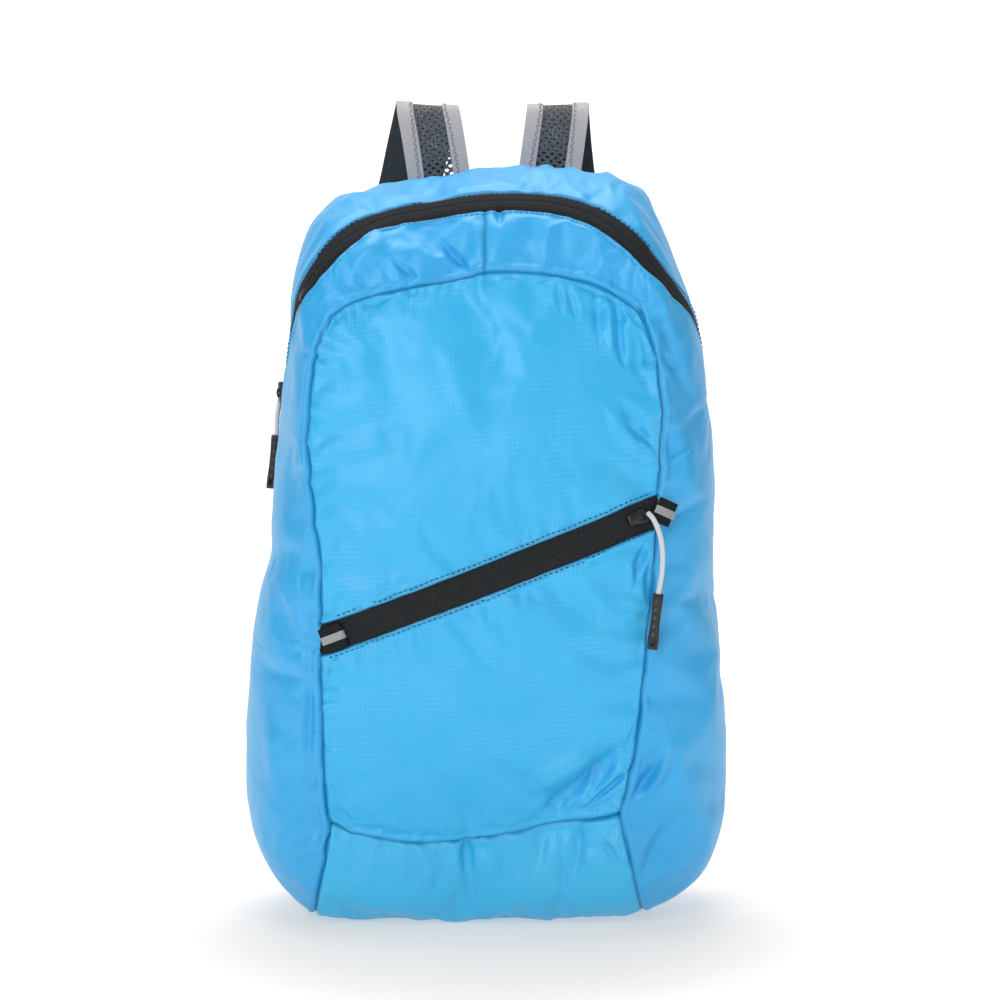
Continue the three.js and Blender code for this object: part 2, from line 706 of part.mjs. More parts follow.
// End tabs of the pocket zip: webbing folded once, the fold outwards, with a reflective stripe.
function foldedTab({ name, length }, root, run, out) {
  const across = run.clone().cross(out).normalize();
  const layer = TAB_WEBBING + TAB_FOLD;
  const low = PIECE_GAP + TAB_WEBBING / 2;
  const path = (raise) => {
    const line = [];
    const at = (along, level) => root.clone().addScaledVector(run, along).addScaledVector(out, level);
    const radius = layer / 2 + raise;
    line.push(at(PIECE_GAP, low + layer + raise));
    line.push(at(length * 0.5, low + layer + raise));
    for (let i = 0; i <= 4; i += 1) {
      const angle = Math.PI / 2 - (i / 4) * Math.PI;
      const along = length - layer / 2 + radius * Math.cos(angle);
      line.push(at(along, low + layer / 2 + radius * Math.sin(angle)));
    }
    return line;
  };
  const outerPath = path(TAB_WEBBING / 2 + PIECE_GAP + STRIPE_WALL / 2).slice(0, 5);
  const webbing = [...path(0), root.clone().addScaledVector(run, PIECE_GAP).addScaledVector(out, low)];
  const sweep = (line, width, thickness) => ribbon(framesAlong(line, () => across).map((frame) => ({
    ...frame, width, thickness,
  })));
  addMesh(`pocket_tab_${name}`, sweep(webbing, TAB_WIDTH, TAB_WEBBING), zipTape());
  addMesh(`pocket_stripe_${name}`, sweep(outerPath, STRIPE_WIDTH, STRIPE_WALL), material(STRIPE_GREY, 0.4));
}

const leftEnd = frontGrid[POCKET_MIDDLE][0];
const rightEnd = frontGrid[POCKET_MIDDLE][TOP_CELLS];
const pocketRun = points[rightEnd].clone().sub(points[leftEnd]).normalize();

function addTab(tab, id, out, run) {
  const flat = run.clone().addScaledVector(out, -run.dot(out)).normalize();
  const raised = flat.clone().addScaledVector(out, tab.rise).normalize();
  const square = out.clone().addScaledVector(raised, -out.dot(raised)).normalize();
  const root = points[id].clone().addScaledVector(flat, tab.start).addScaledVector(square, tab.lift);
  foldedTab(tab, root, raised, square);
}

addTab(TABS[0], leftEnd, normals[frontGrid[POCKET_MIDDLE][1]], pocketRun);
addTab(TABS[1], rightEnd, normals[rightEnd], vec(0.82, 0.2, -0.4));

// Shoulder straps

const skinMesh = new THREE.Mesh(
  solid(points, wholeSkin.flatMap(([a, b, c, d]) => [[a, b, c], [a, c, d]])),
  new THREE.MeshBasicMaterial({ side: THREE.DoubleSide }),
);

// The point of the skin's back, or of its top, that a straight line from outside meets first.
function touch(from, direction) {
  const [hit] = new THREE.Raycaster(from, direction).intersectObject(skinMesh);
  const outward = -Math.sign(hit.face.normal.dot(direction));
  return { point: hit.point, normal: hit.face.normal.clone().multiplyScalar(outward) };
}

// The back edge of the top, where the straps are sewn in, at a given place across the bag.
function topEdgeAt(x) {
  const ids = [];
  for (let station = LEFT_CELLS; station <= LEFT_CELLS + TOP_CELLS; station += 1) {
    ids.push(bandId[station][LAST_COLUMN]);
  }
  const after = Math.max(1, ids.findIndex((id) => points[id].x >= x));
  const [a, b] = [ids[after - 1], ids[after]];
  const share = (x - points[a].x) / (points[b].x - points[a].x);
  return {
    point: points[a].clone().lerp(points[b], share),
    normal: normals[a].clone().lerp(normals[b], share).normalize(),
    run: points[b].clone().sub(points[a]).normalize(),
  };
}

function strapFrames(side) {
  const column = side === 'left' ? 'leftX' : 'rightX';
  const seat = topEdgeAt(STRAP_SEAT[side] * HALF_WIDTH);
  const line = [];
  for (let turn = 0; turn < STRAP_TURNS; turn += 1) {
    const angle = (turn / STRAP_TURNS) * (Math.PI / 2);
    line.push(seat.point.clone()
      .addScaledVector(seat.normal, 3 * PIECE_GAP + STRAP_TURN * Math.sin(angle))
      .addScaledVector(up, STRAP_TURN * (1 - Math.cos(angle))));
  }
  const rise = line[0].clone().addScaledVector(seat.normal, STRAP_TURN).addScaledVector(up, STRAP_TURN);
  const rows = STRAP_PATH.map((row) => (
    vec(row[column] * HALF_WIDTH, row.back * BAG_DEPTH, row.rise * BAG_HEIGHT)
  ));
  const curve = new THREE.CatmullRomCurve3([rise, ...rows], false, 'centripetal');
  line.push(...curve.getPoints(rows.length * STEPS_PER_ROW));
  const tilt = vec(1, 0, STRAP_TILT[side]).normalize();
  const widths = [STRAP_PATH[0].width, ...STRAP_PATH.map((row) => row.width)];
  return framesAlong(line, (share) => seat.run.clone().lerp(tilt, Math.min(1, share * 4))).map((frame, i) => {
    const at = Math.max(0, i - STRAP_TURNS) / STEPS_PER_ROW;
    const low = Math.min(widths.length - 2, Math.floor(at));
    return { ...frame, width: STRAP_WIDTH * mix(widths[low], widths[low + 1], at - low) };
  });
}

function addStrap(side) {
  const name = (piece) => `strap_${piece}_${side}`;
  const inward = side === 'left' ? 1 : -1;
  const frames = strapFrames(side);
  const band = frames.map((frame) => ({ ...frame, thickness: STRAP_THICKNESS }));
  addMesh(name('net'), ribbon(band, EDGE_TAPE_WIDTH), material(NET_GREY, 0.9));
  const raise = STRAP_THICKNESS / 2 + 1.5 * PIECE_GAP + EDGE_TAPE_THICKNESS / 2;
  for (const [edge, hand] of [['inner', inward], ['outer', -inward]]) {
    const tape = frames.map((frame) => ({
      ...frame,
      centre: frame.centre.clone()
        .addScaledVector(frame.across, (hand * (frame.width - EDGE_TAPE_WIDTH)) / 2)
        .addScaledVector(frame.face, raise),
      width: EDGE_TAPE_WIDTH,
      thickness: EDGE_TAPE_THICKNESS,
    }));
    addMesh(name(`tape_${edge}`), ribbon(tape), material(EDGE_GREY, 0.85));
  }
  const end = frames[frames.length - 1];
  const lockFrame = addLock(name('lock'), end);
  const anchorEnd = addAnchor(name('anchor'), side, lockFrame);
  addWebbing(name('webbing'), lockFrame, anchorEnd);
}

// Buckle: a plain moulded frame with a middle bar, round which strap and webbing are looped.
function addLock(name, end) {
  const outline = new THREE.Shape();
  const half = LOCK_WIDTH / 2;
  outline.moveTo(-half, 0);
  outline.lineTo(half, 0);
  outline.lineTo(half, LOCK_LENGTH);
  outline.lineTo(-half, LOCK_LENGTH);
  outline.closePath();
  const slot = (LOCK_LENGTH - 3 * LOCK_BAR) / 2;
  for (const start of [LOCK_BAR, 2 * LOCK_BAR + slot]) {
    const hole = new THREE.Path();
    hole.moveTo(-half + LOCK_BAR, start);
    hole.lineTo(-half + LOCK_BAR, start + slot);
    hole.lineTo(half - LOCK_BAR, start + slot);
    hole.lineTo(half - LOCK_BAR, start);
    hole.closePath();
    outline.holes.push(hole);
  }
  const geometry = new THREE.ExtrudeGeometry(outline, { depth: LOCK_THICKNESS, bevelEnabled: false });
  geometry.translate(0, 0, -LOCK_THICKNESS / 2);
  const mesh = addMesh(name, geometry, material(GRIP_BLACK, 0.5));
  mesh.quaternion.setFromRotationMatrix(new THREE.Matrix4().makeBasis(end.across, end.run, end.face));
  mesh.position.copy(end.centre).addScaledVector(end.run, PIECE_GAP);
  const centre = end.centre.clone().addScaledVector(end.run, LOCK_LENGTH + 3 * PIECE_GAP);
  return { ...end, centre };
}

// Anchor: a cloth tab that lies on the back near its lower corner and takes the webbing's end.
function addAnchor(name, side, lockFrame) {
  const sign = side === 'left' ? -1 : 1;
  const behind = vec(sign * ANCHOR_SEAT.side * HALF_WIDTH, BAG_DEPTH * 2, ANCHOR_SEAT.rise * BAG_HEIGHT);
  const seat = touch(behind, vec(0, -1, 0));
  const level = PIECE_GAP * 4 + ANCHOR_THICKNESS / 2;
  const root = seat.point.clone().addScaledVector(seat.normal, level);
  const climb = up.clone().addScaledVector(seat.normal, -up.dot(seat.normal)).normalize();
  const reach = lockFrame.centre.clone().sub(root).normalize();
  const line = [root];
  for (let i = 1; i <= 4; i += 1) {
    const run = climb.clone().lerp(reach, Math.min(1, i / 3)).normalize();
    line.push(line[i - 1].clone().addScaledVector(run, ANCHOR_LENGTH / 4));
  }
  const frames = framesAlong(line, () => vec(-1, 0, 0));
  const sections = frames.map((frame, i) => ({
    ...frame, width: mix(ANCHOR_WIDTH, WEBBING_WIDTH + 4, i / 4), thickness: ANCHOR_THICKNESS,
  }));
  addMesh(name, ribbon(sections), cloth());
  return sections[sections.length - 1];
}

function addWebbing(name, lockFrame, anchorEnd) {
  const from = lockFrame.centre.clone();
  const to = anchorEnd.centre.clone().addScaledVector(anchorEnd.run, 2 * PIECE_GAP);
  const span = from.distanceTo(to);
  const curve = new THREE.CubicBezierCurve3(
    from,
    from.clone().addScaledVector(lockFrame.run, span * 0.3),
    to.clone().addScaledVector(anchorEnd.run, span * 0.3),
    to,
  );
  const frames = framesAlong(curve.getSpacedPoints(12), () => vec(1, 0, 0));
  addMesh(name, ribbon(frames.map((frame) => ({
    ...frame, width: WEBBING_WIDTH, thickness: WEBBING_THICKNESS,
  }))), zipTape());
}

addStrap('left');
addStrap('right');

// The origin goes to the middle of the base of everything but the free cords.
group.updateMatrixWorld(true);
const box = new THREE.Box3();
for (const mesh of group.children) {
  if (!cordNodes.has(mesh.name)) {
    box.expandByObject(mesh, true);
  }
}
group.position.set(-(box.min.x + box.max.x) / 2, -(box.min.y + box.max.y) / 2, -box.min.z);

export default group;
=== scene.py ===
"""A packable backpack of light blue ripstop nylon, filled and standing upright on white paper.

The free pull cords are made first. Then the shell is sewn from its panels, and the zips, the
webbing tabs, the shoulder straps and the buckles follow. Metres, +Z up, the front panel faces -Y.
"""

import math

import bmesh
import bpy
import numpy as np
from mathutils import Matrix, Vector, kdtree, noise
from mathutils.bvhtree import BVHTree


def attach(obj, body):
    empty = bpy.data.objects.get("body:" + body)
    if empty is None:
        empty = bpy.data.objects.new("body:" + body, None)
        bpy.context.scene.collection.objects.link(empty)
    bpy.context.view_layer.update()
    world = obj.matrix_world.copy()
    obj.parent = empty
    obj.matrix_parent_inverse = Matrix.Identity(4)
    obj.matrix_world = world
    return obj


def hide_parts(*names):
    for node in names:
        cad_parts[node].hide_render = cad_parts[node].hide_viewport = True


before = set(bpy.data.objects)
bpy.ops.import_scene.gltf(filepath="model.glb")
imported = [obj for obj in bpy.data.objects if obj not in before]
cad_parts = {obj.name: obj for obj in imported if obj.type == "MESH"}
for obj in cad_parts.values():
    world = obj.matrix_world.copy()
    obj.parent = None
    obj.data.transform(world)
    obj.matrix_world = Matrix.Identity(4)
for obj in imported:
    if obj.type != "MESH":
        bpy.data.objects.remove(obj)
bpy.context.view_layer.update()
bpy.ops.object.select_all(action="DESELECT")

# Camera
# The bag is seen from straight in front and slightly above, through a long lens.

EYE_TARGET = Vector((0.0075, -0.0092, 0.2483))
EYE_DISTANCE = 2.2
EYE_ELEVATION = math.radians(6.0)

bpy.ops.object.camera_add(
    location=EYE_TARGET + EYE_DISTANCE * Vector((0, -math.cos(EYE_ELEVATION), math.sin(EYE_ELEVATION))),
    rotation=(math.pi / 2 - EYE_ELEVATION, 0, 0),
)
camera = bpy.context.object
camera.name = "studio_camera"
camera.data.lens = 132
camera.data.sensor_width = 36
bpy.context.scene.camera = camera

# Moulded grips
# A satin black rubber bar, moulded over the end of each pull cord: slightly waisted, with a row of
# raised diamonds down both faces and a slot through its foot. The cord runs into its hollow top.

GRIP_LENGTH = 0.0326
GRIP_WIDTH = 0.0062
GRIP_THICKNESS = 0.0048
GRIP_SLOT = (0.0262, 0.0302)
MAIN_GRIP_TOP = Vector((-0.12753, 0.01219, 0.28557))
MAIN_GRIP_HANG = Vector((-3.4, 0, -32.4)).normalized()
POCKET_GRIP_TOP = Vector((0.09904, -0.09531, 0.2028))
POCKET_GRIP_HANG = Vector((-3.4, 0.6, -32.4)).normalized()


def hex_colour(code):
    """An sRGB colour such as "5ab4e8" as linear red, green, blue and alpha."""
    channels = [int(code[i:i + 2], 16) / 255 for i in (0, 2, 4)]
    return (*[c / 12.92 if c <= 0.04045 else ((c + 0.055) / 1.055) ** 2.4 for c in channels], 1.0)


def node(tree, kind, links=(), **settings):
    """Adds one shader node: settings set its properties or its sockets, links join its sockets."""
    made = tree.nodes.new(kind)
    for name, value in settings.items():
        if hasattr(made, name):
            setattr(made, name, value)
        else:
            made.inputs[name.replace("_", " ")].default_value = value
    for socket, source in links:
        tree.links.new(source, made.inputs[socket])
    return made


def new_material(name):
    """An empty node material and its tree."""
    made = bpy.data.materials.new(name)
    made.use_nodes = True
    made.node_tree.nodes.clear()
    return made, made.node_tree


def finish_material(tree, shader):
    node(tree, "ShaderNodeOutputMaterial", links=[("Surface", shader.outputs[0])])


def pick(piece):
    """Makes a piece the only selected one."""
    bpy.ops.object.select_all(action="DESELECT")
    piece.select_set(True)
    bpy.context.view_layer.objects.active = piece


def apply_modifier(piece, kind, **settings):
    pick(piece)
    modifier = piece.modifiers.new(kind.lower(), kind)
    for name, value in settings.items():
        setattr(modifier, name, value)
    bpy.ops.object.modifier_apply(modifier=modifier.name)


def moulded_rubber():
    # Injection moulded soft rubber: a fine spark-eroded grain breaks up its broad, low highlights.
    made, tree = new_material("moulded_black_rubber")
    place = node(tree, "ShaderNodeTexCoord")
    grain = node(tree, "ShaderNodeTexNoise", links=[("Vector", place.outputs["Object"])], Scale=2600.0, Detail=2.0)
    wear = node(tree, "ShaderNodeTexNoise", links=[("Vector", place.outputs["Object"])], Scale=140.0, Detail=3.0)
    tint = node(tree, "ShaderNodeMix", links=[("Factor", wear.outputs["Fac"])], data_type="RGBA")
    tint.inputs[6].default_value = hex_colour("0a0b0c")
    tint.inputs[7].default_value = hex_colour("1a1c1e")
    bump = node(
        tree, "ShaderNodeBump", links=[("Height", grain.outputs["Fac"])], Strength=0.25, Distance=0.0001)
    shader = node(
        tree, "ShaderNodeBsdfPrincipled",
        links=[("Base Color", tint.outputs[2]), ("Normal", bump.outputs["Normal"])], Roughness=0.3)
    finish_material(tree, shader)
    return made


def grip_bar():
    """One grip that hangs from the origin along -Z, with its flat faces to the front and the back."""
    bpy.ops.mesh.primitive_cube_add(
        size=1, location=(0, 0, -GRIP_LENGTH / 2), scale=(GRIP_WIDTH, GRIP_THICKNESS, GRIP_LENGTH))
    bar = bpy.context.object
    bpy.ops.object.transform_apply(location=True, rotation=True, scale=True)
    bpy.ops.object.mode_set(mode="EDIT")
    for depth in (0.0016, 0.0105, 0.0185, GRIP_SLOT[0], GRIP_SLOT[1]):
        bpy.ops.mesh.select_all(action="SELECT")
        bpy.ops.mesh.bisect(plane_co=(0, 0, -depth), plane_no=(0, 0, 1))
    for side in (-0.0012, 0.0012):
        bpy.ops.mesh.select_all(action="SELECT")
        bpy.ops.mesh.bisect(plane_co=(side, 0, 0), plane_no=(1, 0, 0))
    edit = bmesh.from_edit_mesh(bar.data)
    for vertex in edit.verts:
        if -0.02 < vertex.co.z < -0.01:
            vertex.co.x *= 0.88
            vertex.co.y *= 0.92
    bpy.ops.mesh.select_all(action="DESELECT")
    for face in edit.faces:
        middle = face.calc_center_median()
        in_slot = GRIP_SLOT[0] < -middle.z < GRIP_SLOT[1] and abs(middle.x) < 0.001
        face.select = in_slot and abs(face.normal.y) > 0.9
    bpy.ops.mesh.inset(thickness=0.0003, depth=-0.0012)
    bpy.ops.mesh.select_all(action="DESELECT")
    edit = bmesh.from_edit_mesh(bar.data)
    for face in edit.faces:
        face.select = face.normal.z > 0.9 and face.calc_center_median().z > -0.0001
    bpy.ops.mesh.inset(thickness=0.0013, depth=0)
    bpy.ops.mesh.extrude_region_move(TRANSFORM_OT_translate={"value": (0, 0, -0.012)})
    bpy.ops.object.mode_set(mode="OBJECT")
    apply_modifier(bar, "BEVEL", width=0.0007, segments=3, limit_method="ANGLE", angle_limit=math.radians(50))
    diamonds = []
    for row in range(5):
        for face in (-1, 1):
            bpy.ops.mesh.primitive_cone_add(
                vertices=4, radius1=0.0024, radius2=0.0003, depth=0.0012,
                location=(0, face * (GRIP_THICKNESS / 2 + 0.0003), -0.0050 - row * 0.0049),
                rotation=(face * -math.pi / 2, 0, 0), scale=(1.1, 1.2, 1))
            diamonds.append(bpy.context.object)
    pick(bar)
    for diamond in diamonds:
        diamond.select_set(True)
    bpy.ops.object.join()
    bpy.ops.object.transform_apply(location=True, rotation=True, scale=True)
    bpy.ops.object.shade_smooth_by_angle(angle=math.radians(40))
    return bar


def hang_grip(name, mesh, top, hang):
    piece = bpy.data.objects.new(name, mesh.copy())
    bpy.context.scene.collection.objects.link(piece)
    turn = Vector((0, 0, -1)).rotation_difference(hang)
    piece.data.transform(Matrix.Translation(top) @ turn.to_matrix().to_4x4())
    piece.data.materials.clear()
    piece.data.materials.append(rubber)
    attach(piece, "root")
    return piece


rubber = moulded_rubber()
pattern = grip_bar()
main_grip = hang_grip("main_zip_grip", pattern.data, MAIN_GRIP_TOP, MAIN_GRIP_HANG)
pocket_grip = hang_grip("pocket_zip_grip", pattern.data, POCKET_GRIP_TOP, POCKET_GRIP_HANG)
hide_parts("main_zip_pull_grip")
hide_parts("pocket_zip_pull_grip")
bpy.data.objects.remove(pattern)

# Pull cords
# Thin braided polyester cord, pale grey, tied through the eye of the slider and run into the grip.
# Each hangs from its slider under the weight of the grip. Its points are those of the solid cord.

CORD_WIDTH = 0.003
CORD_STRANDS = 8
CORD_SIDES = 32
IN_THE_GRIP = 0.0105
MAIN_CORD = [
    (-0.125157, 0.002392, 0.30676), (-0.125857, 0.004192, 0.30316), (-0.126657, 0.006392, 0.29896),
    (-0.127157, 0.008792, 0.29446), (-0.127357, 0.010792, 0.28996), (-0.127457, 0.012192, 0.28616),
]
POCKET_CORD = [
    (0.093003, -0.093518, 0.2496), (0.095903, -0.096718, 0.2464), (0.098603, -0.098118, 0.2405),
    (0.100403, -0.098118, 0.234), (0.101303, -0.097318, 0.2245), (0.100903, -0.096318, 0.215),
    (0.099903, -0.095618, 0.208), (0.099103, -0.095318, 0.2034),
]


def smooth_line(points, step):
    """Evenly spaced points along the smooth curve that passes through the given ones."""
    fixed = [np.array(point, dtype=float) for point in points]
    fixed = [2 * fixed[0] - fixed[1], *fixed, 2 * fixed[-1] - fixed[-2]]
    dense = []
    for before, here, there, after in zip(fixed, fixed[1:], fixed[2:], fixed[3:]):
        for t in np.linspace(0, 1, 30, endpoint=False):
            dense.append(0.5 * (
                2 * here + (there - before) * t + (2 * before - 5 * here + 4 * there - after) * t * t
                + (3 * here - before - 3 * there + after) * t ** 3))
    dense = np.array([*dense, fixed[-2]])
    along = np.concatenate([[0], np.cumsum(np.linalg.norm(np.diff(dense[:, :3], axis=0), axis=1))])
    places = np.linspace(0, along[-1], max(2, round(along[-1] / step) + 1))
    return np.stack([np.interp(places, along, column) for column in dense.T], axis=1)


def new_piece(name, vertices, faces, uv=None):
    """A mesh object from rows of points and faces, with one UV pair for each corner."""
    mesh = bpy.data.meshes.new(name)
    mesh.from_pydata([tuple(point) for point in vertices], [], faces)
    if uv is not None:
        layer = mesh.uv_layers.new(name="cut")
        layer.data.foreach_set("uv", np.asarray(uv, dtype=float).ravel())
    piece = bpy.data.objects.new(name, mesh)
    bpy.context.scene.collection.objects.link(piece)
    pick(piece)
    bpy.ops.object.shade_smooth()
    return piece


def braided_tube(name, line):
    """A tube whose eight strands pass over and under each other."""
    heading = np.gradient(line, axis=0)
    heading /= np.linalg.norm(heading, axis=1)[:, None]
    side = np.cross(heading[0], [0, 1, 0])
    vertices = []
    for row, (point, ahead) in enumerate(zip(line, heading)):
        side = side - ahead * side.dot(ahead)
        side /= np.linalg.norm(side)
        other = np.cross(ahead, side)
        for k in range(CORD_SIDES):
            turn = 2 * math.pi * k / CORD_SIDES
            round_way = CORD_STRANDS / 2 * turn / math.pi
            long_way = row * CORD_STEP / CORD_PITCH
            strands = (round_way + long_way, round_way - long_way)
            over = (math.floor(strands[0]) + math.floor(strands[1])) % 2
            crown = math.sin(math.pi * (strands[over] % 1))
            radius = CORD_WIDTH / 2 * (0.93 + 0.07 * crown)
            vertices.append(point + radius * (math.cos(turn) * side + math.sin(turn) * other))
    faces = []
    uv = []
    for row in range(len(line) - 1):
        for k in range(CORD_SIDES):
            here, there = row * CORD_SIDES + k, row * CORD_SIDES + (k + 1) % CORD_SIDES
            faces.append((here, there, there + CORD_SIDES, here + CORD_SIDES))
            uv += [(k, row), (k + 1, row), (k + 1, row + 1), (k, row + 1)]
    last = (len(line) - 1) * CORD_SIDES
    faces.append(tuple(reversed(range(CORD_SIDES))))
    faces.append(tuple(range(last, last + CORD_SIDES)))
    uv += [(0, 0)] * (2 * CORD_SIDES)
    uv = np.array(uv, dtype=float) * (1 / CORD_SIDES, CORD_STEP * 1000)
    return new_piece(name, vertices, faces, uv)


def braided_polyester():
    # Spun polyester braid: matt filaments in two greys. The darker grey is painted into the low spots of
    # the same noise that gives their relief, a painted shade in the hollows.
    made, tree = new_material("braided_grey_polyester")
    cut = node(tree, "ShaderNodeUVMap", uv_map="cut")
    lie = node(tree, "ShaderNodeMapping", links=[("Vector", cut.outputs["UV"])], Scale=(60, 4, 1))
    threads = node(tree, "ShaderNodeTexNoise", links=[("Vector", lie.outputs["Vector"])], Scale=1.0, Detail=3.0)
    # Painted shade: the noise's low spots, which are also the hollows of its bump, take the darker grey.
    tint = node(tree, "ShaderNodeMix", links=[("Factor", threads.outputs["Fac"])], data_type="RGBA")
    tint.inputs[6].default_value = hex_colour("a9adb2")
    tint.inputs[7].default_value = hex_colour("dfe1e3")
    bump = node(
        tree, "ShaderNodeBump", links=[("Height", threads.outputs["Fac"])], Strength=0.3, Distance=0.0001)
    shader = node(
        tree, "ShaderNodeBsdfPrincipled",
        links=[("Base Color", tint.outputs[2]), ("Normal", bump.outputs["Normal"])], Roughness=0.8)
    shader.inputs["Sheen Weight"].default_value = 0.25
    finish_material(tree, shader)
    return made


CORD_STEP = 0.00035
CORD_PITCH = 0.0022
braid = braided_polyester()
for name, route, grip, hang in (
    ("main_zip", MAIN_CORD, main_grip, MAIN_GRIP_HANG),
    ("pocket_zip", POCKET_CORD, pocket_grip, POCKET_GRIP_HANG),
):
    route = [*route, Vector(route[-1]) + hang * (IN_THE_GRIP / 2), Vector(route[-1]) + hang * IN_THE_GRIP]
    line = smooth_line(route, CORD_STEP)
    cord = braided_tube(name + "_cord", line)
    cord.data.materials.append(braid)
    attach(cord, "root")
    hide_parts(name + "_pull_cord")

# Floor and light
# A white paper sweep under large soft boxes: the bag is lit from the upper left, and the paper glows
# bright enough that only a short pale shadow shows on it. Its glow is painted dimmer round the bag's
# foot, a painted shadow, and its warm grey offsets the blue light bounced from the bag.


def glowing_paper_painted_shadow():
    made, tree = new_material("seamless_white_paper")
    shader = node(tree, "ShaderNodeBsdfPrincipled", Base_Color=hex_colour("bab4ad"), Roughness=0.9)
    shader.inputs["Specular IOR Level"].default_value = 0.1
    shader.inputs["Emission Color"].default_value = hex_colour("ffffff")
    # The paper glows, and round the bag's foot its glow is painted dimmer: a painted shadow.
    place = node(tree, "ShaderNodeTexCoord")
    centre = node(tree, "ShaderNodeMapping", links=[("Vector", place.outputs["Object"])], Location=(0, 0.1, 0))
    radius = node(tree, "ShaderNodeVectorMath", links=[(0, centre.outputs["Vector"])], operation="LENGTH")
    painted_shadow_glow = node(
        tree, "ShaderNodeMapRange", links=[("Value", radius.outputs["Value"])], interpolation_type="SMOOTHSTEP")
    for socket, value in (("From Min", 0.1), ("From Max", 0.33), ("To Min", 0.45), ("To Max", 0.9)):
        painted_shadow_glow.inputs[socket].default_value = value
    tree.links.new(painted_shadow_glow.outputs[0], shader.inputs["Emission Strength"])
    finish_material(tree, shader)
    return made


bpy.ops.mesh.primitive_plane_add(size=6, location=(0, 0.6, 0))
sweep = bpy.context.object
sweep.name = "paper_sweep"
bpy.ops.object.mode_set(mode="EDIT")
bpy.ops.mesh.select_all(action="DESELECT")
edit = bmesh.from_edit_mesh(sweep.data)
for edge in edit.edges:
    edge.select = all(vertex.co.y > 2 for vertex in edge.verts)
bpy.ops.mesh.extrude_region_move(TRANSFORM_OT_translate={"value": (0, 0.5, 3)})
bpy.ops.object.mode_set(mode="OBJECT")
bpy.ops.object.transform_apply(location=True, rotation=True, scale=True)
sweep.data.materials.append(glowing_paper_painted_shadow())


def softbox(name, place, aim, size, power):
    direction = Vector(aim) - Vector(place)
    bpy.ops.object.light_add(type="AREA", location=place, rotation=direction.to_track_quat("-Z", "Y").to_euler())
    lamp = bpy.context.object
    lamp.name = name
    lamp.data.shape = "RECTANGLE"
    lamp.data.size = size[0]
    lamp.data.size_y = size[1]
    lamp.data.energy = power


softbox("key_softbox", (-0.8, -2.1, 1.15), (0, 0, 0.22), (1.3, 1.3), 25.5)
softbox("fill_softbox", (1.7, -1.4, 0.8), (0, 0, 0.25), (1.1, 1.3), 6)
softbox("top_softbox", (-0.1, 0.25, 1.6), (0, 0, 0.3), (1.2, 1.0), 16)
bpy.context.scene.world = bpy.data.worlds.new("white_room")
bpy.context.scene.world.use_nodes = True
room = bpy.context.scene.world.node_tree.nodes["Background"]
room.inputs["Color"].default_value = hex_colour("ffffff")
room.inputs["Strength"].default_value = 0.3
bpy.context.scene.view_settings.view_transform = "Standard"

# Shell
# Thin ripstop nylon, cut as seven panels that are sewn edge to edge and to the zip tapes. All of it
# is one closed skin while the folds form, and it is parted into its panels afterwards.

PANELS = [
    "front_panel_upper", "front_panel_lower", "gusset_left", "gusset_right", "top_panel",
    "bottom_panel", "back_panel", "main_zip_tape_front", "main_zip_tape_rear",
    "pocket_zip_tape_upper", "pocket_zip_tape_lower",
]
FRONT = (0, 1)
SIDES = (2, 3)
TOP = (4,)
BOTTOM = (5,)
BACK = (6,)
MAIN_TAPES = (7, 8)
POCKET_TAPES = (9, 10)


def sewn_skin():
    """The outer faces of all panels and tapes as one closed mesh of four-sided cells."""
    joined = bmesh.new()
    for index, name in enumerate(PANELS):
        panel = bmesh.new()
        panel.from_mesh(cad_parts[name].data)
        bmesh.ops.remove_doubles(panel, verts=panel.verts, dist=1e-5)
        hidden = []
        for face in panel.faces:
            face.material_index = index
            middle = face.calc_center_median()
            core = Vector((max(-0.09, min(0.09, middle.x)), -0.009, max(0.06, min(0.38, middle.z))))
            is_rim = min(edge.calc_length() for edge in face.edges) < 0.0013
            if is_rim or face.normal.dot(middle - core) < 0:
                hidden.append(face)
        bmesh.ops.delete(panel, geom=hidden, context="FACES")
        part = bpy.data.meshes.new(name + "_outside")
        panel.to_mesh(part)
        joined.from_mesh(part)
        bpy.data.meshes.remove(part)
        panel.free()
    bmesh.ops.remove_doubles(joined, verts=joined.verts, dist=0.0011)
    mesh = bpy.data.meshes.new("skin")
    joined.to_mesh(mesh)
    joined.free()
    made = bpy.data.objects.new("skin", mesh)
    bpy.context.scene.collection.objects.link(made)
    return made


skin = sewn_skin()
pick(skin)
bpy.ops.object.mode_set(mode="EDIT")
bpy.ops.mesh.select_all(action="SELECT")
bpy.ops.mesh.tris_convert_to_quads(
    face_threshold=math.pi, shape_threshold=math.pi, materials=True, topology_influence=1.5)
edit = bmesh.from_edit_mesh(skin.data)
for edge in edit.edges:
    edge.seam = len({face.material_index for face in edge.link_faces}) > 1
bpy.ops.uv.unwrap(method="ANGLE_BASED", margin=0.001)
bpy.ops.object.mode_set(mode="OBJECT")
skin.data.uv_layers.active.name = "cut"


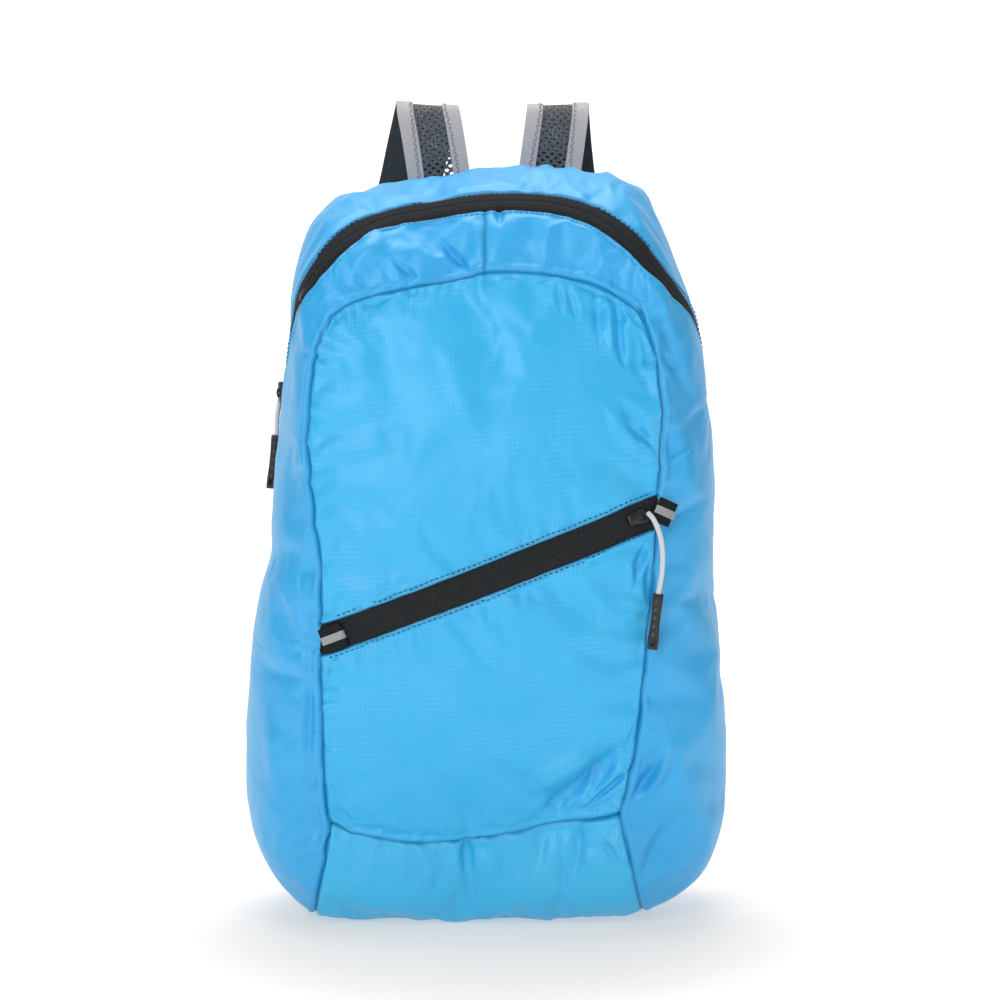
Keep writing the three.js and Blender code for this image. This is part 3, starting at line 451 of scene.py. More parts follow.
def lay_out_cloth(mesh):
    """Turns each panel's flat pattern upright and to its real size, in metres, as it was cut."""
    flat = mesh.uv_layers.active.data
    for index in range(len(PANELS)):
        faces = [face for face in mesh.polygons if face.material_index == index]
        loops = [loop for face in faces for loop in face.loop_indices]
        uv = np.array([flat[loop].uv for loop in loops])
        place = np.array([mesh.vertices[mesh.loops[loop].vertex_index].co for loop in loops])
        area = sum(face.area for face in faces)
        cut = 0.0
        for face in faces:
            corner = [flat[loop].uv for loop in face.loop_indices]
            cut += 0.5 * abs(sum(a.x * b.y - b.x * a.y for a, b in zip(corner, corner[1:] + corner[:1])))
        centred = uv - uv.mean(axis=0)
        rise = place[:, 1] if index in BOTTOM else place[:, 2]
        slope = np.linalg.lstsq(centred, rise - rise.mean(), rcond=None)[0]
        upward = slope / np.linalg.norm(slope)
        turned = np.stack([centred @ np.array([upward[1], -upward[0]]), centred @ upward], axis=1)
        turned *= math.sqrt(area / cut)
        for loop, point in zip(loops, turned):
            flat[loop].uv = point


lay_out_cloth(skin.data)
apply_modifier(skin, "SUBSURF", levels=2, render_levels=2)


def arrays(mesh):
    """Places, normals, panel bits and face corners of the skin as arrays."""
    place = np.empty(len(mesh.vertices) * 3)
    mesh.vertices.foreach_get("co", place)
    outward = np.empty(len(mesh.vertices) * 3)
    mesh.vertices.foreach_get("normal", outward)
    corners = np.empty(len(mesh.loops), dtype=np.int32)
    mesh.loops.foreach_get("vertex_index", corners)
    panel = np.empty(len(mesh.polygons), dtype=np.int32)
    mesh.polygons.foreach_get("material_index", panel)
    bits = np.zeros(len(mesh.vertices), dtype=np.int64)
    np.bitwise_or.at(bits, corners, np.repeat(np.left_shift(1, panel), 4))
    return place.reshape(-1, 3), outward.reshape(-1, 3), bits, corners.reshape(-1, 4)


def bit_of(panels):
    return sum(1 << panel for panel in panels)


def is_sewn(bits):
    """True where a point belongs to more than one panel."""
    return (bits & (bits - 1)) != 0


def spread(values, corners, rounds):
    """Values smoothed over the skin: each point takes the mean of its cells again and again."""
    count = np.bincount(corners.ravel(), minlength=len(values)).astype(float)[:, None]
    for _ in range(rounds):
        cells = values[corners].mean(axis=1)
        total = np.stack([
            np.bincount(corners.ravel(), np.repeat(cells[:, axis], 4), minlength=len(values))
            for axis in range(values.shape[1])], axis=1)
        values = total / count
    return values


def billow(piece):
    """Lets the cloth fill between its seams in the simulation, and gives how each point has moved."""
    trial = bpy.data.objects.new("trial", piece.data.copy())
    bpy.context.scene.collection.objects.link(trial)
    pick(trial)
    place, outward, bits, corners = arrays(trial.data)
    held = trial.vertex_groups.new(name="held")
    still = is_sewn(bits) | (place[:, 2] < 0.001) | ((bits & bit_of(MAIN_TAPES + POCKET_TAPES)) != 0)
    held.add([int(i) for i in np.nonzero(still)[0]], 1.0, "REPLACE")
    cloth = trial.modifiers.new("cloth", "CLOTH")
    cloth.settings.vertex_group_mass = "held"
    cloth.settings.quality = 5
    cloth.settings.mass = 0.1
    cloth.settings.tension_stiffness = 15
    cloth.settings.compression_stiffness = 15
    cloth.settings.shear_stiffness = 5
    cloth.settings.bending_stiffness = 0.05
    cloth.settings.use_pressure = True
    cloth.settings.uniform_pressure_force = 3.0
    cloth.settings.effector_weights.gravity = 0.0
    cloth.settings.shrink_min = -0.05
    cloth.collision_settings.use_collision = False
    cloth.collision_settings.use_self_collision = False
    bpy.context.scene.frame_start = 1
    bpy.context.scene.frame_end = 24
    for step in range(1, 25):
        bpy.context.scene.frame_set(step)
    shaped = trial.evaluated_get(bpy.context.evaluated_depsgraph_get())
    moved = np.empty(len(place) * 3)
    shaped.data.vertices.foreach_get("co", moved)
    moved = moved.reshape(-1, 3) - place
    bpy.context.scene.frame_set(1)
    bpy.data.objects.remove(trial)
    wrinkles = moved - spread(moved, corners, 30)
    reach = np.linalg.norm(wrinkles, axis=1)[:, None]
    wrinkles *= np.minimum(1, 0.004 / np.maximum(reach, 1e-9))
    wrinkles *= (1 - 0.6 * np.abs(outward[:, 0]))[:, None]
    wrinkles[still] = 0
    return wrinkles


place, outward, bits, corners = arrays(skin.data)
place = place + billow(skin)
skin.data.vertices.foreach_set("co", place.ravel())
skin.data.update()
apply_modifier(skin, "SUBSURF", levels=2, render_levels=2)

# Main folds, seen from the front: ends in millimetres across and up, half width and depth in
# millimetres. A negative depth is a valley.
FOLDS = [
    ("arch pucker", 42, 381, 43, 364, 2.3, -1.8),
    ("arch pucker", 47, 379, 51, 359, 2.9, -2.2),
    ("arch pucker", 61, 374, 63, 347, 3.5, -2.4),
    ("arch drag", 73, 372, 80, 334, 4.6, -4.3),
    ("arch drag", 67, 373, 72, 344, 3.5, 1.9),
    ("front drag", 75, 316, 98, 283, 4.6, -3.8),
    ("front drag", 69, 312, 88, 281, 4.6, 2.2),
    ("front drag", 80, 301, 95, 287, 2.3, -2.2),
    ("front tone", -34, 359, -4, 292, 15.0, 3.5),
    ("front tone", -62, 356, -50, 275, 17.3, -3.0),
    ("pocket drag", 77, 111, 31, 67, 7.5, -7.1),
    ("pocket drag", 84, 100, 57, 74, 2.3, -2.7),
    ("pocket drag", 65, 117, 25, 83, 8.1, 3.7),
    ("zip end", 91, 231, 87, 210, 3.5, -3.0),
    ("zip end", 95, 222, 94, 196, 2.9, -2.4),
    ("zip end", 84, 222, 83, 205, 4.0, 1.6),
    ("hem fold", -12, 56, -12, 32, 4.6, -2.2),
    ("hem fold", -39, 51, -35, 22, 7.0, 2.0),
    ("hem fold", 8, 54, 14, 25, 7.0, -2.7),
    ("hem fold", 38, 60, 40, 28, 8.1, 2.9),
    ("hem fold", 54, 63, 52, 28, 4.6, -2.9),
    ("hem fold", 66, 58, 75, 42, 2.9, -2.4),
    ("hem fold", -67, 54, -69, 28, 7.0, 1.8),
    ("heel fold", 101, 105, 82, 75, 4.7, -5.1),
    ("heel fold", 110, 117, 89, 78, 5.3, 4.1),
    ("heel fold", 119, 75, 90, 28, 9.4, -4.4),
    ("crest valley", -26, 407, -11, 387, 2.9, -3.5),
    ("crest valley", -53, 397, -39, 385, 2.9, -2.4),
    ("crest ridge", -56, 415, -83, 381, 9.3, 4.1),
    ("crest pucker", 6, 428, 7, 414, 2.3, -1.6),
    ("brow ridge", 89, 390, 106, 354, 8.2, 3.0),
    ("brow valley", 97, 372, 119, 313, 5.9, -3.2),
    ("flank ridge", 104, 324, 121, 254, 8.2, 2.4),
    ("flank valley", 110, 330, 103, 341, 2.9, -1.9),
    ("flank crease", 101, 273, 118, 286, 1.8, 1.2),
    ("seam valley", -104, 149, -102, 96, 2.9, -2.4),
    ("seam ridge", -110, 219, -108, 101, 4.1, 1.9),
    ("left valley", -120, 200, -116, 170, 5.3, -2.4),
    ("left ridge", -129, 134, -122, 75, 9.4, 2.2),
]

# Gathers along the rim at the top: where each lies across, its half width and its height, in
# millimetres. They run from the back seam to the front and fade out before the zip.
GATHERS = [
    (-91, 6, 3.6), (-76, 4, -3.3), (-62, 7, 3.9), (-44, 12, 3.3), (-27, 5, -2.4), (-12, 7, 2.4),
    (6, 5, -2.1), (17, 6, 2.1), (27, 4, -2.4), (34, 5, 4.2), (42, 3.5, -2.7), (50, 5, 3.9),
    (61, 6, -4.8), (73, 5, 4.5), (84, 6, -2.4), (95, 6, 4.5), (103, 4, -3.6),
]

# Seams: the panels on the first and on the second side, the depth of the sewn groove, how far each
# side's edge stands up beside it and how far off, how strongly each side puckers, how far the
# puckers reach and how far apart they are. All lengths are in millimetres.
SEAMS = [
    ("arch and sides", FRONT, SIDES, 1.5, 0.0, 1.2, 3.0, 2.4, 0.8, 10, 6),
    ("arch and sides, broad", FRONT, SIDES, 0.0, 0.0, 0.0, 3.0, 1.4, 1.0, 22, 17),
    ("hem", (1,), BOTTOM, 1.3, 0.5, 0.4, 3.0, 2.0, 3.2, 13, 7),
    ("hem, broad", (1,), BOTTOM, 0.0, 0.0, 0.0, 3.0, 1.6, 3.6, 30, 19),
    ("bottom corners", BOTTOM, SIDES, 1.3, 0.2, 0.7, 3.0, 1.5, 1.3, 10, 7),
    ("crest seam", (2,), (3,), 0.8, 0.1, 0.1, 3.0, 0.9, 0.9, 8, 6),
    ("back rim", BACK, SIDES, 1.2, 0.3, 0.8, 3.0, 1.4, 1.6, 12, 9),
    ("back foot", BACK, BOTTOM, 1.2, 0.3, 0.6, 3.0, 1.4, 1.6, 12, 9),
    ("top gather", BACK, TOP, 1.4, 0.6, 1.0, 3.0, 3.4, 4.2, 26, 24),
    ("top gather, fine", BACK, TOP, 0.0, 0.0, 0.0, 3.0, 1.2, 1.4, 10, 8),
    ("top to sides", TOP, SIDES, 1.0, 0.2, 0.4, 3.0, 1.6, 1.4, 14, 11),
    ("main zip", MAIN_TAPES, SIDES + TOP, 0.6, -0.4, 0.8, 1.3, 0.0, 0.5, 10, 8),
    ("pocket zip", POCKET_TAPES, FRONT, 0.6, -0.4, 1.0, 1.3, 0.0, 0.7, 10, 7),
    ("main zip slit", (7,), (8,), 0.4, 0.1, 0.1, 1.8, 0.0, 0.0, 4, 4),
    ("pocket zip slit", (9,), (10,), 0.4, 0.1, 0.1, 1.8, 0.0, 0.0, 4, 4),
]


def nearest(line_points, places):
    """For each place, the number of the nearest point of a line, and its distance."""
    tree = kdtree.KDTree(len(line_points))
    for number, point in enumerate(line_points):
        tree.insert(point, number)
    tree.balance()
    found = [tree.find(point) for point in places]
    return np.array([hit[1] for hit in found]), np.array([hit[2] for hit in found])


def ripple(points, pitch, shift):
    """A value from about -1 to 1 that changes along a seam about once in each pitch."""
    fine = np.array([noise.noise(Vector(point) / pitch + Vector(shift)) for point in points])
    broad = np.array([noise.noise(Vector(point) / (3.5 * pitch) - Vector(shift)) for point in points])
    return np.clip(fine * 1.6, -1, 1) * np.clip(0.55 + 1.4 * broad, 0.1, 1.3)


def crease_profile(share):
    """A fold across its width: a crest or a valley, with a low swell of the other kind on both sides."""
    return (1 - 0.8 * share ** 2) * np.exp(-0.8 * share ** 2)


def sew_and_fold(mesh):
    """Moves the points of the finished skin: main folds, sewn grooves, lips and puckers."""
    place, outward, bits, corners = arrays(mesh)
    shift = np.zeros(len(place))
    forward = np.clip(-outward[:, 1] * 2.0, 0, 1)
    drift = np.array([noise.noise_vector(Vector(point) * 30) for point in place])
    wavering = place + 0.0035 * drift
    uneven = 1 + 0.5 * drift[:, 1]
    for _, x0, z0, x1, z1, width, depth in FOLDS:
        start = np.array([x0, z0]) / 1000
        run = np.array([x1, z1]) / 1000 - start
        offset = wavering[:, [0, 2]] - start
        share = (offset @ run) / (run @ run)
        aside = np.abs(offset[:, 0] * run[1] - offset[:, 1] * run[0]) / np.linalg.norm(run)
        fade = np.clip(1.2 - np.abs(share - 0.5) * 2, 0, 1)
        taper = fade * fade * (3 - 2 * fade)
        slim = 0.4 + 0.6 * taper
        shift += depth / 1000 * taper * crease_profile(aside / (slim * width / 1000)) * forward * uneven
    upward = np.clip(outward[:, 2] * 1.5, 0, 1)
    for x, width, height in GATHERS:
        aside = (wavering[:, 0] - x / 1000) / (width / 1000)
        at_rim = np.clip((place[:, 1] + 0.01) / 0.04, 0, 1)
        shift += height / 1000 * np.exp(-aside ** 2) * upward * at_rim * ((bits & bit_of(TOP + BACK)) != 0)
    crease = np.zeros(len(place))
    for number, seam in enumerate(SEAMS):
        _, first, second, groove, lip_first, lip_second, lip_at, tug_first, tug_second, reach, pitch = seam
        on_line = ((bits & bit_of(first)) != 0) & ((bits & bit_of(second)) != 0)
        line_points = place[on_line]
        low, high = line_points.min(axis=0) - 3 * reach / 1000, line_points.max(axis=0) + 3 * reach / 1000
        close = np.all((place > low) & (place < high), axis=1) & ((bits & bit_of(first + second)) != 0)
        near = np.nonzero(close)[0]
        _, distance = nearest(line_points, place[near])
        bend = np.array([noise.noise_vector(Vector(point) * 45) for point in place[near]])
        wander = place[near] + bend * (0.005 * np.clip(distance / 0.012, 0, 1))[:, None]
        number_along, _ = nearest(line_points, wander)
        waves = ripple(line_points, pitch / 1000, (number * 3.7, 1.3, 0))[number_along]
        apart = distance * 1000
        sunk = groove * np.exp(-(apart / 1.1) ** 2)
        hem = np.exp(-((apart - lip_at) / (0.7 * lip_at)) ** 2)
        tug = np.exp(-(apart / reach) ** 1.5) * (1 - 0.6 * np.exp(-(apart / 1.5) ** 2))
        is_first = (bits[near] & bit_of(first)) != 0
        lift = np.where(is_first, lip_first, lip_second) * hem
        lift += np.where(is_first, tug_first, tug_second) * tug * waves
        shift[near] += (lift - sunk) / 1000
        # The crease mark along each sewn groove is kept to paint shade into the cloth's colour there.
        if groove:
            crease[near] = np.maximum(crease[near], np.exp(-(apart / 1.0) ** 2))
    crinkle = np.array([noise.fractal(Vector(point) * 38, 1.0, 2.0, 3) for point in place])
    drape = np.array([noise.noise(Vector((x * 17, y * 17, z * 8))) for x, y, z in place])
    _, from_tape = nearest(place[(bits & bit_of(MAIN_TAPES + POCKET_TAPES)) != 0], place)
    free = np.clip((from_tape - 0.001) / 0.014, 0, 1)
    free = free * free * (3 - 2 * free)
    shift += 0.0005 * crinkle * (1 - crease) * np.minimum(1, from_tape / 0.003)
    sideways = np.abs(outward[:, 0])
    shift += 0.0027 * (drape - 0.3 * sideways) * np.clip(outward[:, 1] + 1.4, 0.4, 1) * free * (1 - 0.4 * sideways)
    place = place + outward * shift[:, None]
    place[:, 2] = np.maximum(place[:, 2], 0.0002)
    mesh.vertices.foreach_set("co", place.ravel())
    seam_shade_mask = mesh.attributes.new("crease", "FLOAT", "POINT")
    seam_shade_mask.data.foreach_set("value", crease)
    mesh.update()


def lay_tape(mesh, pair):
    """Lays the pattern of both tapes along the line on which they meet; gives that line in order."""
    place, outward, bits, corners = arrays(mesh)
    met = place[(bits & bit_of(pair)) == bit_of(pair)]
    lower_left_end = int(np.argmin(met[:, 2] + (met[:, 0] > 0)))
    line = [met[lower_left_end]]
    left = list(range(len(met)))
    left.remove(lower_left_end)
    while left:
        gaps = np.linalg.norm(met[left] - line[-1], axis=1)
        line.append(met[left.pop(int(np.argmin(gaps)))])
    line = np.array(line)
    along = np.concatenate([[0], np.cumsum(np.linalg.norm(np.diff(line, axis=0), axis=1))])
    flat = mesh.uv_layers.active.data
    panel = np.empty(len(mesh.polygons), dtype=np.int32)
    mesh.polygons.foreach_get("material_index", panel)
    for sign, tape in zip((-1, 1), pair):
        cells = np.nonzero(panel == tape)[0]
        own = np.unique(corners[cells])
        number, distance = nearest(line, place[own])
        spot = dict(zip(own.tolist(), zip(along[number], sign * distance)))
        for cell in cells:
            for k, corner in enumerate(corners[cell]):
                flat[4 * int(cell) + k].uv = spot[int(corner)]
    return line


sew_and_fold(skin.data)
main_zip_line = lay_tape(skin.data, MAIN_TAPES)
pocket_zip_line = lay_tape(skin.data, POCKET_TAPES)
surface = BVHTree.FromObject(skin, bpy.context.evaluated_depsgraph_get())


def ripstop_nylon(name, colour, pale, grid_strength, lean):
    # Calendered ripstop nylon: thin plain weave with doubled threads every few millimetres, which
    # show as a fine paler grid, under a soft satin sheen. Along the sewn grooves the blue is painted
    # darker and more saturated, a painted shade in the seams.
    made, tree = new_material(name)
    cut = node(tree, "ShaderNodeUVMap", uv_map="cut")
    warp = node(tree, "ShaderNodeTexNoise", links=[("Vector", cut.outputs["UV"])], Scale=14.0, Detail=1.0)
    pulled = node(tree, "ShaderNodeMixRGB", links=[("Color1", cut.outputs["UV"]), ("Color2", warp.outputs["Color"])])
    pulled.inputs["Fac"].default_value = 0.006
    grain = node(tree, "ShaderNodeMapping", links=[("Vector", pulled.outputs["Color"])], Rotation=(0, 0, lean))
    axes = node(tree, "ShaderNodeSeparateXYZ", links=[("Vector", grain.outputs["Vector"])])
    lines = []
    for axis, pitch, width in (("X", 0.0024, 0.1), ("Y", 0.0032, 0.09)):
        scaled = node(tree, "ShaderNodeMath", links=[(0, axes.outputs[axis])], operation="DIVIDE")
        scaled.inputs[1].default_value = pitch
        wave = node(tree, "ShaderNodeMath", links=[(0, scaled.outputs[0])], operation="PINGPONG")
        wave.inputs[1].default_value = 0.5
        line = node(
            tree, "ShaderNodeMapRange", links=[("Value", wave.outputs[0])], interpolation_type="SMOOTHSTEP")
        line.inputs["From Min"].default_value = width
        line.inputs["From Max"].default_value = 0.0
        lines.append(line)
    grid = node(
        tree, "ShaderNodeMath", links=[(0, lines[0].outputs[0]), (1, lines[1].outputs[0])], operation="MAXIMUM")
    slub_lie = node(tree, "ShaderNodeMapping", links=[("Vector", cut.outputs["UV"])], Scale=(140, 900, 1))
    slub = node(tree, "ShaderNodeTexNoise", links=[("Vector", slub_lie.outputs["Vector"])], Scale=1.0, Detail=2.0)
    fade = node(tree, "ShaderNodeTexNoise", links=[("Vector", cut.outputs["UV"])], Scale=26.0, Detail=2.0)
    ground = node(tree, "ShaderNodeMix", links=[("Factor", fade.outputs["Fac"])], data_type="RGBA")
    ground.inputs[6].default_value = hex_colour(colour)
    ground.inputs[7].default_value = hex_colour(pale)
    patches = node(tree, "ShaderNodeTexNoise", links=[("Vector", cut.outputs["UV"])], Scale=34.0, Detail=2.0)
    caught = node(tree, "ShaderNodeMapRange", links=[("Value", patches.outputs["Fac"])], interpolation_type="SMOOTHSTEP")
    for socket, value in (("From Min", 0.35), ("From Max", 0.65), ("To Min", 0.2), ("To Max", grid_strength)):
        caught.inputs[socket].default_value = value * (grid_strength if socket == "To Min" else 1)
    grid_share = node(tree, "ShaderNodeMath", links=[(0, grid.outputs[0]), (1, caught.outputs[0])], operation="MULTIPLY")
    threads = node(tree, "ShaderNodeMix", links=[("Factor", grid_share.outputs[0]), (6, ground.outputs[2])], data_type="RGBA")
    threads.inputs[7].default_value = hex_colour("7cc6f0")
    # Painted shade: the crease mark darkens the colour towards a deep saturated blue along the sewn grooves.
    seam_shade_mask = node(tree, "ShaderNodeAttribute", attribute_name="crease")
    depth = node(tree, "ShaderNodeMath", links=[(0, seam_shade_mask.outputs["Fac"])], operation="MULTIPLY")
    depth.inputs[1].default_value = 0.75
    seam_shaded = node(
        tree, "ShaderNodeMix", links=[("Factor", depth.outputs[0]), (6, threads.outputs[2])], data_type="RGBA")
    seam_shaded.inputs[7].default_value = hex_colour("0a6f9e")
    relief = node(
        tree, "ShaderNodeMath", links=[(0, grid.outputs[0]), (1, slub.outputs["Fac"])], operation="ADD")
    bump = node(
        tree, "ShaderNodeBump", links=[("Height", relief.outputs[0])], Strength=0.15, Distance=0.0001)
    shader = node(
        tree, "ShaderNodeBsdfPrincipled",
        links=[("Base Color", seam_shaded.outputs[2]), ("Normal", bump.outputs["Normal"])], Roughness=0.46)
    shader.inputs["Sheen Weight"].default_value = 0.05
    shader.inputs["Sheen Roughness"].default_value = 0.4
    shader.inputs["Specular IOR Level"].default_value = 1.0
    shader.inputs["Specular Tint"].default_value = hex_colour("ccddff")
    finish_material(tree, shader)
    return made


def twill_tape():
    # Woven polyester zip tape: black twill whose diagonal ribs run up towards the coil from both
    # sides. The ribs are drawn 1.3 mm apart, coarser than the real 0.5 mm, so that they still show.
    # Their crowns are painted paler grey, broken up by the yarn noise: a painted highlight along each rib.
    made, tree = new_material("black_twill_tape")
    cut = node(tree, "ShaderNodeUVMap", uv_map="cut")
    axes = node(tree, "ShaderNodeSeparateXYZ", links=[("Vector", cut.outputs["UV"])])
    side = node(tree, "ShaderNodeMath", links=[(0, axes.outputs["Y"])], operation="ABSOLUTE")
    slant = node(tree, "ShaderNodeMath", links=[(0, axes.outputs["X"]), (1, side.outputs[0])], operation="ADD")
    count = node(tree, "ShaderNodeMath", links=[(0, slant.outputs[0])], operation="DIVIDE")
    count.inputs[1].default_value = 0.0013
    rib = node(tree, "ShaderNodeMath", links=[(0, count.outputs[0])], operation="PINGPONG")
    rib.inputs[1].default_value = 0.5
    lie = node(tree, "ShaderNodeMapping", links=[("Vector", cut.outputs["UV"])], Scale=(500, 1500, 1))
    yarn = node(tree, "ShaderNodeTexNoise", links=[("Vector", lie.outputs["Vector"])], Scale=1.0, Detail=2.0)
    crown = node(tree, "ShaderNodeMapRange", links=[("Value", rib.outputs[0])], interpolation_type="SMOOTHSTEP")
    crown.inputs["From Min"].default_value = 0.12
    crown.inputs["From Max"].default_value = 0.42
    mixed = node(
        tree, "ShaderNodeMath", links=[(0, crown.outputs[0]), (1, yarn.outputs["Fac"])], operation="MULTIPLY")
    # Painted highlight: the rib crowns are lifted from black towards pale grey.
    tint = node(tree, "ShaderNodeMix", links=[("Factor", mixed.outputs[0])], data_type="RGBA")
    tint.inputs[6].default_value = hex_colour("040506")
    tint.inputs[7].default_value = hex_colour("42484d")
    bump = node(tree, "ShaderNodeBump", links=[("Height", rib.outputs[0])], Strength=0.7, Distance=0.0004)
    shader = node(
        tree, "ShaderNodeBsdfPrincipled",
        links=[("Base Color", tint.outputs[2]), ("Normal", bump.outputs["Normal"])], Roughness=0.8)
    shader.inputs["Specular IOR Level"].default_value = 0.2
    finish_material(tree, shader)
    return made


# One ripstop in three tints: the sides are painted a little darker, painted shade, and the base a little lighter,
# painted light, than the front, for how the light falls on each face.
front_cloth = ripstop_nylon("ripstop_nylon_front", "1ca6dc", "2ab0e4", 0.32, math.radians(-4))
shaded_side_cloth = ripstop_nylon("ripstop_nylon_sides", "1e9eda", "2ca6e0", 0.16, 0.0)
lit_base_cloth = ripstop_nylon("ripstop_nylon_base", "26acde", "34b6e6", 0.28, 0.0)
tape_weave = twill_tape()
PANEL_FINISH = [front_cloth] * 2 + [shaded_side_cloth] * 3 + [lit_base_cloth, shaded_side_cloth] + [tape_weave] * 4
for name in PANELS:
    skin.data.materials.append(bpy.data.materials.new("cut_" + name))
pick(skin)
bpy.ops.object.mode_set(mode="EDIT")
bpy.ops.mesh.separate(type="MATERIAL")
bpy.ops.object.mode_set(mode="OBJECT")
shell = {}
for piece in bpy.context.selected_objects:
    cut = piece.data.materials[piece.data.polygons[0].material_index].name
    shell[PANELS.index(cut[4:])] = piece
for index, piece in shell.items():
    piece.name = PANELS[index] + "_cloth"
    piece.data.materials.clear()
    piece.data.materials.append(PANEL_FINISH[index])
    piece.data.polygons.foreach_set("material_index", [0] * len(piece.data.polygons))
    pick(piece)
    bpy.ops.object.shade_smooth()
    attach(piece, "root")
    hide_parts(PANELS[index])
for name in PANELS:
    bpy.data.materials.remove(bpy.data.materials["cut_" + name])

# Topstitching along the zips
# Blue polyester thread, a lockstitch of about 3 mm that holds the folded edges of the cloth down on
# the zip tapes. It sinks in and reads as a row of short dark dashes.

STITCH_LENGTH = 0.0025
STITCH_STEP = 0.0033
STITCH_WIDTH = 0.0009


def sewing_thread(name, colour, pale):
    # Twisted polyester thread: two tones run slantwise round it, under a faint silky sheen.
    made, tree = new_material(name)
    place = node(tree, "ShaderNodeTexCoord")
    twist = node(
        tree, "ShaderNodeTexWave", links=[("Vector", place.outputs["Object"])], Scale=900.0, Distortion=1.0)
    tint = node(tree, "ShaderNodeMix", links=[("Factor", twist.outputs["Fac"])], data_type="RGBA")
    tint.inputs[6].default_value = hex_colour(colour)
    tint.inputs[7].default_value = hex_colour(pale)
    shader = node(tree, "ShaderNodeBsdfPrincipled", links=[("Base Color", tint.outputs[2])], Roughness=0.6)
    shader.inputs["Sheen Weight"].default_value = 0.2
    finish_material(tree, shader)
    return made


def thread_bars(name, places, ahead, outward, length, width, finish):
    """Low bars of thread, one for each stitch, with tapered ends that dip into the cloth."""
    vertices = []
    faces = []
    for place, run, out in zip(places, ahead, outward):
        side = np.cross(out, run)
        first = len(vertices)
        for along, across, level in (
            (-0.5, 0, -0.6), (-0.32, -0.5, 0), (-0.32, 0, 0.45), (-0.32, 0.5, 0),
            (0.32, -0.5, 0), (0.32, 0, 0.45), (0.32, 0.5, 0), (0.5, 0, -0.6),
        ):
            vertices.append(place + run * along * length + side * across * width + out * level * width)
        for face in ((0, 2, 1), (0, 3, 2), (1, 2, 5, 4), (2, 3, 6, 5), (4, 5, 7), (5, 6, 7)):
            faces.append(tuple(first + k for k in reversed(face)))
    piece = new_piece(name, vertices, faces)
    piece.data.materials.append(finish)
    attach(piece, "root")
    return piece


def stitch_along(name, line, offset, finish):
    """A row of stitches beside a zip, at an even distance from the line on which its tapes meet."""
    coarse = smooth_line(line[::8], 0.012)
    even = smooth_line(coarse, STITCH_STEP)[1:-1]
    heading = np.gradient(even, axis=0)
    facing = np.array([surface.find_nearest(Vector(point))[1] for point in even])
    places, ahead, outward = [], [], []
    for number, (point, run) in enumerate(zip(even, heading)):
        run = Vector(run).normalized()
        out = Vector(facing[max(0, number - 5):number + 6].mean(axis=0))
        side = out.cross(run).normalized()
        spot, out, _, _ = surface.find_nearest(Vector(point) + side * offset)
        places.append(np.array(spot + out * 0.0001))
        ahead.append(np.array((run - out * run.dot(out)).normalized()))
        outward.append(np.array(out))
    piece = thread_bars(name, places, ahead, outward, STITCH_LENGTH, STITCH_WIDTH, finish)
    return piece


blue_thread = sewing_thread("dark_blue_polyester_thread", "053f66", "0b5380")
pale_thread = sewing_thread("light_blue_polyester_thread", "1a86bd", "2c9ad0")
MAIN_STITCH_OFFSET = 0.0086
POCKET_STITCH_OFFSET = 0.0105
stitch_along("main_zip_stitches_front", main_zip_line, -MAIN_STITCH_OFFSET - 0.001, pale_thread)
stitch_along("main_zip_stitches_rear", main_zip_line, MAIN_STITCH_OFFSET - 0.0006, blue_thread)
stitch_along("pocket_zip_stitches_lower", pocket_zip_line, -POCKET_STITCH_OFFSET, blue_thread)
stitch_along("pocket_zip_stitches_upper", pocket_zip_line, POCKET_STITCH_OFFSET, blue_thread)

# Coils
# The coils lie behind the tapes, which turn their backs out, so only a thin line of them shows.


def nylon_coil():
    # Extruded nylon monofilament, wound and heat set: glossy turns 1.4 mm apart.
    made, tree = new_material("black_nylon_coil")
    place = node(tree, "ShaderNodeTexCoord")
    turns = node(
        tree, "ShaderNodeTexWave", links=[("Vector", place.outputs["Object"])], Scale=710.0, Distortion=0.4)
    bump = node(
        tree, "ShaderNodeBump", links=[("Height", turns.outputs["Fac"])], Strength=0.7, Distance=0.0003)
    shader = node(
        tree, "ShaderNodeBsdfPrincipled", links=[("Normal", bump.outputs["Normal"])],
        Base_Color=hex_colour("15181a"), Roughness=0.32)
    finish_material(tree, shader)
    return made


coil_finish = nylon_coil()
for name in ("main_zip_coil", "pocket_zip_coil"):
    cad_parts[name].data.materials.clear()
    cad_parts[name].data.materials.append(coil_finish)

# Sliders
# Die-cast zinc, painted black: a body with a broad nose and side flanges, and on it a bridge that
# the pull cord is tied through. One is modelled flat and set on each zip.

SLIDER_LENGTH = 0.0125
SLIDER_WIDTH = 0.0084


def painted_zinc():
    # Wet paint on cast zinc: smooth, half gloss, with faint grey rubbed edges.
    made, tree = new_material("black_painted_zinc")
    place = node(tree, "ShaderNodeTexCoord")
    rub = node(tree, "ShaderNodeTexNoise", links=[("Vector", place.outputs["Object"])], Scale=420.0, Detail=3.0)
    tint = node(tree, "ShaderNodeMix", links=[("Factor", rub.outputs["Fac"])], data_type="RGBA")
    tint.inputs[6].default_value = hex_colour("060707")
    tint.inputs[7].default_value = hex_colour("16181a")
    bump = node(tree, "ShaderNodeBump", links=[("Height", rub.outputs["Fac"])], Strength=0.15, Distance=0.0001)
    shader = node(
        tree, "ShaderNodeBsdfPrincipled",
        links=[("Base Color", tint.outputs[2]), ("Normal", bump.outputs["Normal"])], Roughness=0.3)
    finish_material(tree, shader)
    return made


